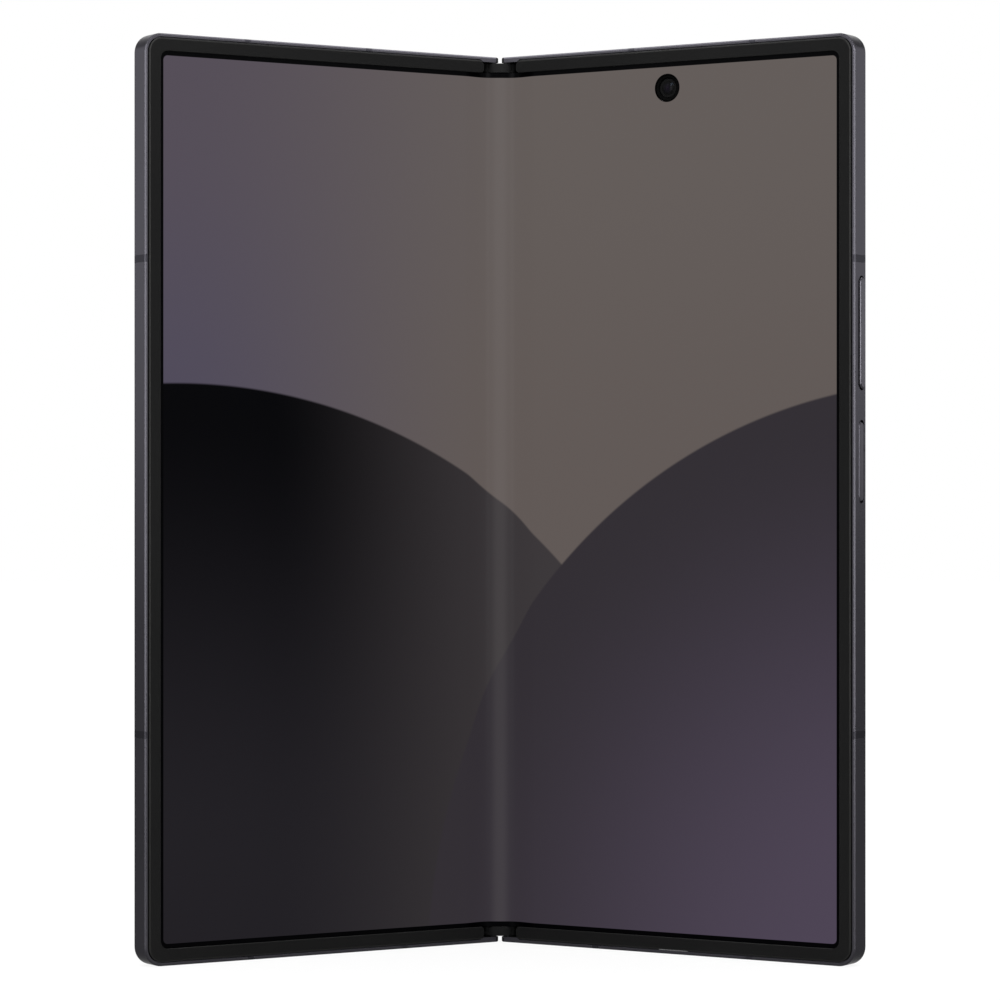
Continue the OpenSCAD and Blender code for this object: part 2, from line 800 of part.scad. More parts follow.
// Pan-head screws that hold the brackets
module bracket_screws() {
  for (z = stations, d = [-bracket_screw_z, bracket_screw_z]) translate([bracket_screw_s, 0, z + d]) {
    translate([0, hinge_bar_t - 0.65, 0]) rotate([-90, 0, 0]) difference() {
      cylinder(h = 0.25, r = 0.75);
      translate([0, 0, -0.01]) cylinder(h = 0.15, r = 0.35, $fn = 6);
    }
    translate([0, hinge_bar_t - 0.41, 0]) rotate([-90, 0, 0]) cylinder(h = 0.82, r = 0.34);
  }
}

module left_screws() {
  color("dimgray") place_left() bracket_screws();
}

module right_screws() {
  color("dimgray") place_right() bracket_screws();
}

// ---------------------------------------------------------------- outer faces

module back_plate() {
  difference() {
    half_plate(glass_s0 + glass_gap, -seat_u, corner_r + seat_u);
    children();
  }
}

module cover_glass() {
  color(glass_color) place_left() layer(glass_t0, thick) back_plate()
    translate([cover_cam_s - ear_len / 2 + 0.5, height - 1.45]) square([ear_len - 1, 1]);
}

// Panel of the outer screen, under its glass
module cover_display() {
  color([0.02, 0.02, 0.025]) place_left() layer(panel_t0, glass_t0) difference() {
    rounded_rect(panel_s0, 2.6, half_w - 2.6, height - 2.6, 2);
    translate([cover_cam_s, height - cover_cam_drop]) circle(cover_cam_r + 0.2);
  }
}

module cover_camera() {
  color(dark_color) place_left() translate([cover_cam_s, 0, height - cover_cam_drop]) {
    translate([-3, chassis_t1, -2.6]) cube([6, 1.4, 5.6]);
    translate([0, chassis_t1 + 1.3, 0]) rotate([-90, 0, 0])
      cylinder(h = glass_t0 - chassis_t1 - 1.3, r = cover_cam_r);
  }
}

module earpiece() {
  color("dimgray") place_left() translate([cover_cam_s - ear_len / 2, chassis_t1, height - rail_w - 2.5])
    cube([ear_len, 1.9, 2.45]);
}

module rear_glass() {
  color(glass_color) place_right() layer(glass_t0, thick) back_plate() {
    rounded_rect(island_s - island_w / 2 + 1, island_z - island_h / 2 + 1,
      island_s + island_w / 2 - 1, island_z + island_h / 2 - 1, island_w / 2 - 1.01);
    translate([island_s - 15, island_z + lens_pitch]) circle(2.25);
  }
}

lens_places = [for (i = [-1:1]) island_z + i * lens_pitch];

module camera_island() {
  inner = island_w / 2 - 1.06;
  color(body_color) place_right() difference() {
    union() {
      layer(thick, thick + island_t)
        rounded_rect(island_s - island_w / 2, island_z - island_h / 2,
          island_s + island_w / 2, island_z + island_h / 2, island_w / 2 - 0.01);
      layer(glass_t0 - 0.3, thick)
        rounded_rect(island_s - inner, island_z - island_h / 2 + 1.05,
          island_s + inner, island_z + island_h / 2 - 1.05, inner - 0.01);
    }
    for (z = lens_places) translate([island_s, 0, z]) rotate([-90, 0, 0]) cylinder(h = 10, r = lens_r + 0.3);
  }
}

module lens_rings() {
  color("gray") place_right() for (z = lens_places)
    translate([island_s, thick + island_t, z]) rotate([-90, 0, 0]) rotate_extrude()
      polygon([[lens_r, -0.5], [lens_r, 0.25], [lens_r + 0.25, 0.5], [ring_r - 0.35, 0.5],
        [ring_r, 0.15], [ring_r, 0], [lens_r + 0.3, 0], [lens_r + 0.3, -0.5]]);
}

module lens_windows() {
  color([0.03, 0.03, 0.05]) place_right() for (z = lens_places)
    translate([island_s, thick + island_t - 0.3, z]) rotate([-90, 0, 0])
      cylinder(h = 0.5, r = lens_r);
}

module camera_modules() {
  color(dark_color) place_right() for (z = lens_places) translate([island_s, chassis_t1, z]) {
    translate([-5.6, 0, -5.6]) cube([11.2, 2.1, 11.2]);
    rotate([-90, 0, 0]) cylinder(h = thick + island_t - chassis_t1 - 0.3, r = 4.4);
  }
}

module flash_window() {
  color("ivory") place_right() translate([island_s - 15, glass_t0 - 0.2, island_z + lens_pitch])
    rotate([-90, 0, 0]) cylinder(h = glass_t + 0.2, r = 2.2);
}

// Small camera that looks through the hole in the inner screen
module inner_camera() {
  color(dark_color) place_right() translate([inner_cam_s, 0, height - inner_cam_drop]) {
    rotate([-90, 0, 0]) difference() {
      translate([0, 0, 0.12]) cylinder(h = chassis_t1, r = inner_cam_d / 2 - 0.05);
      cylinder(h = 0.4, r = 1.65);
    }
    translate([-3.2, chassis_t1, -3.2]) cube([6.4, 1.6, 6.4]);
  }
}

module inner_window() {
  color([0.04, 0.05, 0.09]) place_right() translate([inner_cam_s, 0.1, height - inner_cam_drop])
    rotate([-90, 0, 0]) cylinder(h = 0.3, r = 1.65);
}

// ---------------------------------------------------------------- inside

module left_battery() {
  color("dimgray") place_left() layer(chassis_t1, battery_t1)
    rounded_rect(bay_s0, left_bay_z[0], bay_s1 + 1, left_bay_z[1], 1.2);
}

module right_battery() {
  color("dimgray") place_right() layer(chassis_t1, battery_t1)
    rounded_rect(bay_s0, right_bay_z[0], bay_s1, right_bay_z[1], 1.2);
}

module board_screw_holes(places) {
  for (p = places) translate(p) circle(0.55);
}

module main_board() {
  color("darkgreen") place_right() layer(board_t0, board_t1) difference() {
    rounded_rect(bay_s0, main_board_z[0], main_board_s1, main_board_z[1], 1);
    board_screw_holes(right_bosses);
  }
}

// Outlines [s0, z0, s1, z1] of the cans
can_split_z = main_board_z[0] + 25.5;
cans = [
  [16, main_board_z[0] + 3.5, 40.5, can_split_z],
  [16, can_split_z + 2.5, 27, main_board_z[1] - 4],
  [29.5, can_split_z + 2.5, 40.5, main_board_z[1] - 4]
];

module shield_cans() {
  color(steel_color) place_right() for (can = cans)
    layer(board_t1, can_t1) rounded_rect(can[0], can[1], can[2], can[3], 0.6);
}

module left_board() {
  color("darkgreen") place_left() {
    layer(board_t0, board_t1) difference() {
      rounded_rect(left_board_s0, left_board_z[0], bay_s1, left_board_z[1], 1);
      board_screw_holes(left_bosses);
    }
    layer(board_t1, can_t1)
      rounded_rect(left_board_s0 + 7.5, left_board_z[0] + 4.5, bay_s1 - 8.8, left_board_z[1] - 5, 0.6);
  }
}

// Screws that hold a board on its seats
module board_screws(places) {
  head = [1.0, 0.4];
  for (p = places) translate([p[0], 0, p[1]]) {
    translate([0, board_t1, 0]) rotate([-90, 0, 0]) difference() {
      cylinder(h = head[1], r = head[0]);
      translate([0, 0, head[1] - 0.2]) cylinder(h = 0.3, r = 0.45, $fn = 6);
    }
    translate([0, chassis_t0 + 0.15, 0]) rotate([-90, 0, 0])
      cylinder(h = board_t1 - chassis_t0 - 0.14, r = 0.49);
  }
}

module left_board_screws() {
  color("dimgray") place_left() board_screws(left_bosses);
}

module right_board_screws() {
  color("dimgray") place_right() board_screws(right_bosses);
}

// Bars along the outer side that hold the phone closed
module magnets() {
  for (z = magnet_z) translate([key_back_s - 1.5, chassis_t1, z]) cube([1.3, 2.0, 16]);
}

module left_magnets() {
  color("silver") place_left() magnets();
}

module right_magnets() {
  color("silver") place_right() magnets();
}

// Reader that the card tray slides into
module sim_cage() {
  wall = 0.25;
  color(steel_color) place_left() difference() {
    translate([tray_s0 - wall - 0.15, chassis_t1, height - tray_len - 2])
      cube([tray_w + 2 * wall + 0.3, 2.1, tray_len - 0.2]);
    translate([tray_s0 - 0.15, tray_t0 - 0.1, height - tray_len - 1])
      cube([tray_w + 0.3, tray_t1 - tray_t0 + 0.2, tray_len + 2]);
  }
}

// Card tray: a head in the top edge and a leaf with two card pockets
module sim_tray() {
  card = [8.9, 12.4];
  color(body_color) place_left() {
    difference() {
      translate([tray_s0, tray_t0, height - rail_w - 0.4]) cube([tray_w, tray_t1 - tray_t0, rail_w + 0.4]);
      translate([tray_s0 + 1.6, thick / 2, height - 1.4]) cylinder(h = 3, r = 0.4);
    }
    difference() {
      translate([tray_s0 + 0.1, tray_leaf_t[0], height - tray_len])
        cube([tray_w - 0.2, tray_leaf_t[1] - tray_leaf_t[0], tray_len - rail_w]);
      for (i = [0, 1])
        translate([tray_s0 + 0.8, tray_leaf_t[0] + 0.15, height - tray_len + 0.9 + i * 12])
          cube([card[1], 1, card[0] + 1.4]);
    }
  }
}

module charging_coil() {
  color("peru") place_right() layer(3.5, glass_t0) translate([half_w / 2 + 1.2, coil_z]) difference() {
    circle(21);
    circle(11);
  }
}

module usb_port() {
  color(steel_color) place_right() translate([usb_s, usb_t, 0]) {
    translate([0, 0, 0.25]) difference() {
      linear_extrude(usb_depth) port_shape(usb_open_w + 2 * usb_wall, usb_open_t + 2 * usb_wall);
      translate([0, 0, -1]) linear_extrude(usb_depth + 0.4) port_shape(usb_open_w, usb_open_t);
    }
    translate([-3.35, -0.35, 1.0]) cube([6.7, 0.7, usb_depth - 0.9]);
  }
}

module speakers() {
  color(dark_color) place_right() {
    translate([bay_s1 - 21.3, chassis_t1, rail_w]) cube([20, 2.2, 12]);
    translate([11, chassis_t1, height - rail_w - 8.5]) cube([12, 2.2, 8.5]);
  }
}

module vibration_motor() {
  color("silver") place_right() translate([11, chassis_t1, 4.5]) cube([9, 2.1, 9]);
}

// Dome switches on a strip behind the keys
module key_switches() {
  color([0.55, 0.35, 0.12]) place_right() {
    for (z = [volume_z - switch_pitch, volume_z + switch_pitch, side_key_z])
      translate([switch_s, key_t, mid_z + z]) rotate([0, 90, 0]) cylinder(h = switch_h, r = 0.95);
    translate([switch_s - 0.2, chassis_t1, mid_z - 4]) cube([0.2, 2.3, 46]);
    translate([switch_s, key_t - 0.6, mid_z + volume_z - 0.6])
      cube([volume_pivot_s - pivot_r - 0.02 - switch_s, 1.2, 1.2]);
  }
}

// A key: a face in the slot, a wider flange inside and posts that press the switches
module key(z, len, proud, flange_s, posts, travel) {
  post_s = switch_s + switch_h + travel + 0.01;
  key_face(z, len, key_w, flange_s, half_w + proud);
  side_slot(z, len + 1.2, key_w + 0.5, flange_s, flange_s + 0.25);
  for (p = posts) translate([post_s, key_t, z + p]) rotate([0, 90, 0])
    cylinder(h = flange_s - post_s, r = 0.6);
}

module volume_key() {
  color([0.27, 0.27, 0.30]) place_right() {
      key(mid_z + volume_z, volume_len, volume_proud, volume_pivot_s, [-switch_pitch, switch_pitch],
        rock_travel);
      translate([volume_pivot_s, key_t - 0.6, mid_z + volume_z]) rotate([-90, 0, 0])
        cylinder(h = 1.2, r = pivot_r);
  }
}

module side_key() {
  color([0.22, 0.22, 0.25]) place_right()
    key(mid_z + side_key_z, side_key_len, side_key_proud, key_back_s - 0.3, [0], side_travel);
}

// ---------------------------------------------------------------- nodes

spine_cover();
spine_frame();
end_caps();
idler_pins();
friction_washers();
fold_strip();
fold_lattice();
hinge_flex();
left_frame();
left_breaks();
left_bezel();
left_display();
left_plate();
left_brackets();
left_shafts();
left_gears();
left_screws();
cover_glass();
cover_display();
cover_camera();
earpiece();
left_battery();
left_board();
left_board_screws();
left_magnets();
sim_cage();
sim_tray();
right_frame();
right_breaks();
right_bezel();
right_display();
right_plate();
right_brackets();
right_shafts();
right_gears();
right_screws();
rear_glass();
camera_island();
lens_rings();
lens_windows();
camera_modules();
flash_window();
inner_camera();
inner_window();
right_battery();
main_board();
right_board_screws();
right_magnets();
shield_cans();
charging_coil();
usb_port();
speakers();
vibration_motor();
key_switches();
volume_key();
side_key();
left_idlers();
right_idlers();
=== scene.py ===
# %% [markdown]
# # A foldable smartphone, half open
#
# The phone is already there as a model made of exact solids: two thin halves on a geared
# hinge. This lesson dresses it. Flat metal, plastic and glass keep the solids' own shapes,
# with their sharp edges rounded a little, because a real edge always catches some light.
# The bending screen, the lenses and the contacts are made here.

# %% The imported frame
import json
import math

import bmesh
import bpy
import numpy as np
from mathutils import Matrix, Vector


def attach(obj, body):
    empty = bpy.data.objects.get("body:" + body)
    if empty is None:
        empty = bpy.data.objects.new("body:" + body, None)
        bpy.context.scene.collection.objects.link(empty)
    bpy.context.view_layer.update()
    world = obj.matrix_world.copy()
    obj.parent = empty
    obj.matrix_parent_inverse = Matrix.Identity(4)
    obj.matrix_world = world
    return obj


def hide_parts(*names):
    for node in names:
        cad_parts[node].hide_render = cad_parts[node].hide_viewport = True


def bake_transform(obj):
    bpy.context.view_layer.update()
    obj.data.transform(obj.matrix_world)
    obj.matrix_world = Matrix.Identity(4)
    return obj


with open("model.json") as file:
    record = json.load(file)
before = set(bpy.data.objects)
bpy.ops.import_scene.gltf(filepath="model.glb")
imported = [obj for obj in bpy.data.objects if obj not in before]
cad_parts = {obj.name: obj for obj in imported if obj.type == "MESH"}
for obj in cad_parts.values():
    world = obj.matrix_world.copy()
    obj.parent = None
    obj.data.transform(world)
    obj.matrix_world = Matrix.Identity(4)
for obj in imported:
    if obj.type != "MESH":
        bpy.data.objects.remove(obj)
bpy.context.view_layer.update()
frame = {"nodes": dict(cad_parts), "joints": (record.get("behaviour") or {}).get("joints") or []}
nodes = frame["nodes"]

# %% [markdown]
# ## Where things are
#
# Every half is easiest to think of lying flat: `s` is the distance from the hinge line,
# `t` the depth behind the screen's face and `z` the height, all in millimetres. The hinge
# joint tells how far each half is turned up from flat, and `place` turns a flat point
# about the shaft to where it is in the pose that is shown.

# %% Sizes of the phone, in millimetres
MM = 0.001
HEIGHT, HALF_WIDTH, THICK = 158.4, 71.6, 4.2
MID = HEIGHT / 2
SHAFT_S, SHAFT_T = 2.0, 1.75
FOLD_HALF = 8.0
SCREEN_T = 0.35
joints = {joint["name"]: joint for joint in frame["joints"]}
FOLD = math.radians(joints["right_hinge"]["range_deg"][1])
SHAFT_Y = joints["right_hinge"]["pos_m"][1] / MM
HALVES = {"left": -1, "right": 1}


def place(side, s, t, z, turn=FOLD):
    """Flat places s, t, z (numbers or arrays, mm) of a half as points of the row frame, in metres."""
    s, t, z = np.broadcast_arrays(s, t, z)
    x = SHAFT_S + (s - SHAFT_S) * np.cos(turn) + (t - SHAFT_T) * np.sin(turn)
    y = SHAFT_Y - (s - SHAFT_S) * np.sin(turn) + (t - SHAFT_T) * np.cos(turn)
    return np.stack([HALVES[side] * x, y, z], axis=-1) * MM


print("each half is turned", round(math.degrees(FOLD), 1), "degrees from flat")

# %% [markdown]
# ## Camera
#
# The photograph was taken from straight ahead at half height. The distance and the lens
# follow from how much larger the near edges look than the hinge: a camera 677 mm in front
# of the screen's hinge line with a view 15 degrees wide.

# %% Camera at the photograph's viewing angle
CAMERA_DISTANCE = 0.6609  # metres in front of the origin
CAMERA_HEIGHT = (MID - 0.06) * MM
LENS = 136.19
camera_data = bpy.data.cameras.new("camera")
camera_data.lens = LENS
camera_data.sensor_width = 36
camera_data.clip_start = 0.01
camera = bpy.data.objects.new("camera", camera_data)
camera.location = (0, -CAMERA_DISTANCE, CAMERA_HEIGHT)
camera.rotation_euler = (math.radians(90), 0, 0)
bpy.context.scene.collection.objects.link(camera)
bpy.context.scene.camera = camera
bpy.context.scene.view_settings.view_transform = "Standard"
print("camera", CAMERA_DISTANCE, "m in front, lens", LENS, "mm")

# %% [markdown]
# ## Small helpers for materials
#
# A material is a small graph. Writing each node on one line keeps it readable: `wire` adds
# a node, fills its inputs in order, links those that come from another node and returns
# the output to pass on.


# %% Helpers that build node graphs
def wire(tree, kind, *inputs, out=0, **settings):
    """Adds a node to a tree, fills its inputs in order and returns one of its outputs."""
    made = tree.nodes.new(kind)
    for key, value in settings.items():
        setattr(made, key, value)
    for socket, value in zip(made.inputs, inputs):
        if isinstance(value, bpy.types.NodeSocket):
            tree.links.new(value, socket)
        elif value is not None:
            socket.default_value = value
    return made.outputs[out]


def calc(tree, operation, a, b=0.0):
    return wire(tree, "ShaderNodeMath", a, b, operation=operation)


def mix_colour(tree, share, first, second):
    """The first colour where share is 0, the second where it is 1."""
    made = tree.nodes.new("ShaderNodeMix")
    made.data_type = "RGBA"
    for socket, value in zip((made.inputs[0], made.inputs[6], made.inputs[7]), (share, first, second)):
        if isinstance(value, bpy.types.NodeSocket):
            tree.links.new(value, socket)
        else:
            socket.default_value = value
    return made.outputs[2]


def rgb(red, green, blue):
    """A colour written as 0 to 255, as a screen shows it, in the linear values that nodes use."""
    parts = [v / 255 for v in (red, green, blue)]
    return tuple(v / 12.92 if v <= 0.04045 else ((v + 0.055) / 1.055) ** 2.4 for v in parts) + (1.0,)


def shader_material(name, **values):
    """A material whose even values sit on the shader's own sockets."""
    material = bpy.data.materials.new(name)
    material.use_nodes = True
    shader = material.node_tree.nodes["Principled BSDF"]
    for key, value in values.items():
        shader.inputs[key.replace("_", " ")].default_value = value
    return material, shader


# %% [markdown]
# ## Finishes
#
# Every finish gets two scales of change: a broad one, as a surface is never quite even,
# and a fine one, such as the dimples of blasted metal or the tooth of moulded plastic.
# The fine one moves both the roughness and the height.


# %% A finish with broad and fine grain
def finish(name, dark, light, rough, broad=35.0, fine=9000.0, height=0.0015, **values):
    """Colour from dark to light and roughness from rough[0] to rough[1], by noise on the object's place.

    broad and fine are the noise's scales per metre, height is the fine one's height in mm."""
    material, shader = shader_material(name, **values)
    tree = material.node_tree
    place_in = wire(tree, "ShaderNodeTexCoord", out=3)
    clouds = wire(tree, "ShaderNodeTexNoise", place_in, None, broad, 3.0)
    grain = wire(tree, "ShaderNodeTexNoise", place_in, None, fine, 2.0)
    both = calc(tree, "ADD", calc(tree, "MULTIPLY", clouds, 0.7), calc(tree, "MULTIPLY", grain, 0.3))
    colour = mix_colour(tree, both, dark, light)
    tree.links.new(colour, shader.inputs["Base Color"])
    roughness = wire(tree, "ShaderNodeMapRange", both, 0.3, 0.7, rough[0], rough[1])
    tree.links.new(roughness, shader.inputs["Roughness"])
    if height:
        bump = wire(tree, "ShaderNodeBump", 0.25, height * MM, None, grain)
        tree.links.new(bump, shader.inputs["Normal"])
    return material


# %% [markdown]
# The frame is aluminium with a dark dye in its oxide skin: a metal, but one that mirrors
# only a few hundredths of the light, with a slight blue. The plastics are nearly black and
# show their own colour more than a reflection, so their specular level is low. The inner
# parts are never seen in the photograph, but the phone opens, so they get a real finish too.

# %% Finishes of the frame, the plastics and the inner parts
DYED = dict(Metallic=1.0, Specular_Tint=(0.5, 0.5, 0.5, 1.0))
METAL = dict(Metallic=1.0)
MATT = dict(fine=7000.0)
graphite = finish("graphite_metal", rgb(44, 43.3, 47), rgb(50, 49, 53), (0.25, 0.31), **DYED)
graphite_edge = finish(
    "graphite_edge", rgb(44, 43.3, 47), rgb(59, 58, 62), (0.2, 0.3), broad=260.0, fine=3000.0, **DYED
)
key_metal = finish("key_metal", rgb(50, 49, 53), rgb(56, 55, 59), (0.22, 0.28), **DYED)
break_plastic = finish("break_plastic", rgb(32, 31.5, 35), rgb(38, 37.5, 41), (0.28, 0.36), fine=5000.0, **DYED)
bezel_plastic = finish("bezel_plastic", rgb(22, 22, 22), rgb(27, 27, 27), (0.4, 0.5), Specular_IOR_Level=0.01, **MATT)
bezel_edge = finish("bezel_edge", rgb(22, 22, 21), rgb(27, 27, 26), (0.28, 0.38), Specular_IOR_Level=0.06, **MATT)
cap_plastic = finish("cap_plastic", rgb(18, 18, 18), rgb(23, 23, 23), (0.5, 0.6), Specular_IOR_Level=0.02, **MATT)
# painted shade: near-black for the faces in the gaps beside the hinge and inside the spine cover
painted_shade_black = finish("painted_shade_black", rgb(7, 7, 7), rgb(11, 11, 11), (0.5, 0.65), Specular_IOR_Level=0.02, **MATT)
steel = finish("satin_steel", rgb(150, 150, 152), rgb(176, 176, 180), (0.25, 0.4), fine=6000.0, **METAL)
gear_steel = finish("gear_steel", rgb(140, 132, 118), rgb(168, 158, 138), (0.3, 0.45), **METAL)
can_metal = finish("can_metal", rgb(165, 165, 166), rgb(188, 188, 190), (0.2, 0.34), **METAL)
copper = finish("copper", rgb(170, 100, 60), rgb(200, 126, 80), (0.25, 0.4), **METAL)
board_green = finish("board_green", rgb(10, 40, 24), rgb(16, 58, 34), (0.3, 0.45))
battery_foil = finish("battery_foil", rgb(44, 44, 46), rgb(56, 56, 58), (0.35, 0.5))
flex_film = finish("flex_film", rgb(120, 66, 20), rgb(150, 88, 30), (0.3, 0.4))
camera_black = finish("camera_black", rgb(10, 10, 11), rgb(15, 15, 16), (0.5, 0.65))
rear_glass_finish = finish(
    "rear_glass",
    rgb(42, 42, 46),
    rgb(47, 47, 51),
    (0.30, 0.36),
    fine=14000.0,
    Specular_IOR_Level=0.3,
    Coat_Weight=0.1,
    Coat_Roughness=0.3,
)
front_glass = finish(
    "front_glass",
    rgb(4, 4, 5),
    rgb(6, 6, 8),
    (0.03, 0.06),
    height=0,
    Specular_IOR_Level=0.35,
    Coat_Weight=0.1,
    Coat_Roughness=0.02,
)
print("finishes:", len(bpy.data.materials))

# %% [markdown]
# ## The picture on the screen
#
# The screen shows a quiet picture of its own: two round hills, each with a crisp crest
# and a soft slope, under a sky that goes from violet grey to warm grey. It is computed
# from the place on the flat screen, which a UV map carries, so that it bends with the
# screen. A black border runs round the lit part and round the camera's hole.

# %% Screen material
UV_SPAN = 160.0
LIT_HALF_S, LIT_HALF_Z, LIT_CORNER = 68.1, 75.45, 0.8
CAMERA_S, CAMERA_Z, CAMERA_HOLE_R = 35.1, HEIGHT - 7.4, 2.4
# centres and radii of the two hills, from the middle of the screen
LEFT_HILL_S, LEFT_HILL_Z, LEFT_HILL_R = -64.0, -92.0, 112.0
RIGHT_HILL_S, RIGHT_HILL_Z, RIGHT_HILL_R = 88.0, -84.0, 104.0
CREST_SOFTNESS, EDGE_SOFTNESS = (0.1, -0.4), 0.03


def screen_picture(name):
    material, shader = shader_material(
        name, Base_Color=rgb(1, 1, 2), Roughness=0.3, Specular_IOR_Level=0.01, Emission_Strength=1.0
    )
    tree = material.node_tree
    where = wire(tree, "ShaderNodeUVMap", uv_map="flat")
    in_mm = wire(tree, "ShaderNodeMapping", where, (-UV_SPAN / 2, -UV_SPAN / 2, 0), None, (UV_SPAN,) * 3)
    split = tree.nodes.new("ShaderNodeSeparateXYZ")
    tree.links.new(in_mm, split.inputs[0])
    s, z = split.outputs[0], split.outputs[1]

    def ramp(value, low, high):
        """0 below low, 1 above high, soft between."""
        return wire(tree, "ShaderNodeMapRange", value, low, high, 0.0, 1.0, interpolation_type="SMOOTHSTEP")

    def length(a, b):
        return calc(tree, "SQRT", calc(tree, "ADD", calc(tree, "MULTIPLY", a, a), calc(tree, "MULTIPLY", b, b)))

    def distance(centre_s, centre_z):
        return length(calc(tree, "SUBTRACT", s, centre_s), calc(tree, "SUBTRACT", z, centre_z))

    sky = mix_colour(tree, ramp(s, -70.0, 12.0), rgb(84, 77, 87), rgb(99, 92, 89))
    low_sky = mix_colour(tree, ramp(s, -70.0, 0.0), rgb(79, 74, 91), rgb(97, 89, 86))
    sky = mix_colour(tree, ramp(z, 70.0, 0.0), sky, low_sky)
    # the left hill: black under its crest, then slowly lighter downhill and towards the hinge
    outer, inner = CREST_SOFTNESS
    left = distance(LEFT_HILL_S, LEFT_HILL_Z)
    slope = mix_colour(tree, ramp(left, LEFT_HILL_R, 30.0), rgb(2, 2, 3), rgb(33, 31, 35))
    slope = mix_colour(tree, ramp(s, -48.0, 14.0), slope, rgb(60, 56, 58))
    picture = mix_colour(tree, ramp(left, LEFT_HILL_R + outer, LEFT_HILL_R + inner), sky, slope)
    # the right hill, in front of it
    right = distance(RIGHT_HILL_S, RIGHT_HILL_Z)
    slope = mix_colour(tree, ramp(right, RIGHT_HILL_R, 20.0), rgb(50, 46, 51), rgb(77, 68, 84))
    picture = mix_colour(tree, ramp(right, RIGHT_HILL_R + outer, RIGHT_HILL_R + inner), picture, slope)
    # painted highlight: the picture is a little lighter along the fold
    painted_crease_highlight = calc(tree, "SUBTRACT", 1.0, ramp(calc(tree, "ABSOLUTE", s), 0.2, 2.6))
    picture = mix_colour(tree, calc(tree, "MULTIPLY", painted_crease_highlight, 0.05), picture, rgb(170, 165, 165))
    # border: a rounded rectangle
    out_s = calc(tree, "SUBTRACT", calc(tree, "ABSOLUTE", s), LIT_HALF_S - LIT_CORNER)
    out_z = calc(tree, "SUBTRACT", calc(tree, "ABSOLUTE", z), LIT_HALF_Z - LIT_CORNER)
    corner_s = calc(tree, "MAXIMUM", out_s, 0.0)
    corner_z = calc(tree, "MAXIMUM", out_z, 0.0)
    lit = ramp(length(corner_s, corner_z), LIT_CORNER + EDGE_SOFTNESS, LIT_CORNER - EDGE_SOFTNESS)
    hole = ramp(distance(CAMERA_S, CAMERA_Z - MID), CAMERA_HOLE_R + 0.04, CAMERA_HOLE_R + 0.1)
    lit = calc(tree, "MULTIPLY", lit, hole)
    shown = mix_colour(tree, lit, (0.0, 0.0, 0.0, 1.0), picture)
    tree.links.new(shown, shader.inputs["Emission Color"])
    return material


screen_finish = screen_picture("screen_picture")
print("screen graph:", len(screen_finish.node_tree.nodes), "nodes")

# %% [markdown]
# ## Meshes from flat outlines
#
# The two flat parts of the screen are plates: an outline with round outer corners, and in
# the right one a hole for the camera. Filling the outline, extruding it and placing every
# point with `place` gives a closed plate, and the flat places go into the UV map.


# %% Helpers that make meshes
def new_piece(name, mesh, *materials):
    piece = bpy.data.objects.new(name, mesh)
    bpy.context.scene.collection.objects.link(piece)
    for material in materials:
        mesh.materials.append(material)
    return piece


def shade(mesh, degrees=30.0):
    """Smooth over soft edges, crisp over sharper ones."""
    mesh.polygons.foreach_set("use_smooth", [True] * len(mesh.polygons))
    mesh.set_sharp_from_angle(angle=math.radians(degrees))


def write_flat_uv(mesh, side, flat):
    """flat holds each vertex's s and z. The left half's s counts as negative."""
    layer = mesh.uv_layers.new(name="flat")
    for loop in mesh.loops:
        s, z = flat[loop.vertex_index]
        layer.data[loop.index].uv = (0.5 + HALVES[side] * s / UV_SPAN, 0.5 + (z - MID) / UV_SPAN)


def arc(centre_s, centre_z, radius, first, last, steps):
    return [
        (centre_s + radius * math.cos(math.radians(a)), centre_z + radius * math.sin(math.radians(a)))
        for a in np.linspace(first, last, steps)
    ]


def plate(name, side, loops, t0, t1, material):
    """A plate between depths t0 and t1. The first loop of (s, z) points is its outline, the others are holes."""
    work = bmesh.new()
    for loop in loops:
        ring = [work.verts.new((s, z, 0)) for s, z in loop]
        for a, b in zip(ring, ring[1:] + ring[:1]):
            work.edges.new((a, b))
    bmesh.ops.triangle_fill(work, use_beauty=True, edges=work.edges)
    grown = bmesh.ops.extrude_face_region(work, geom=work.faces[:])
    bmesh.ops.translate(work, verts=[g for g in grown["geom"] if isinstance(g, bmesh.types.BMVert)], vec=(0, 0, 1))
    flat = [(v.co.x, v.co.y) for v in work.verts]
    for v in work.verts:
        v.co = Vector(place(side, v.co.x, t0 + (t1 - t0) * v.co.z, v.co.y))
    bmesh.ops.recalc_face_normals(work, faces=work.faces)
    mesh = bpy.data.meshes.new(name)
    work.to_mesh(mesh)
    work.free()
    write_flat_uv(mesh, side, flat)
    shade(mesh)
    return new_piece(name, mesh, material)


# %% Flat parts of the screen
SCREEN_EDGE_S, SCREEN_EDGE_Z, SCREEN_CORNER = 69.55, 2.3, 1.0


def screen_loop():
    top, side_s, r = HEIGHT - SCREEN_EDGE_Z, SCREEN_EDGE_S, SCREEN_CORNER
    return (
        [(FOLD_HALF, SCREEN_EDGE_Z)]
        + arc(side_s - r, SCREEN_EDGE_Z + r, r, -90, 0, 10)
        + arc(side_s - r, top - r, r, 0, 90, 10)
        + [(FOLD_HALF, top)]
    )


camera_loop = arc(CAMERA_S, CAMERA_Z, CAMERA_HOLE_R, 0, 360 - 360 / 96, 96)
left_screen = plate("screen_left", "left", [screen_loop()], 0, SCREEN_T, screen_finish)
right_screen = plate("screen_right", "right", [screen_loop(), camera_loop], 0, SCREEN_T, screen_finish)
for piece, side in ((left_screen, "left"), (right_screen, "right")):
    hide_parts(side + "_display")
    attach(piece, side + "_half")
print("screen plates:", len(left_screen.data.polygons), len(right_screen.data.polygons), "faces")
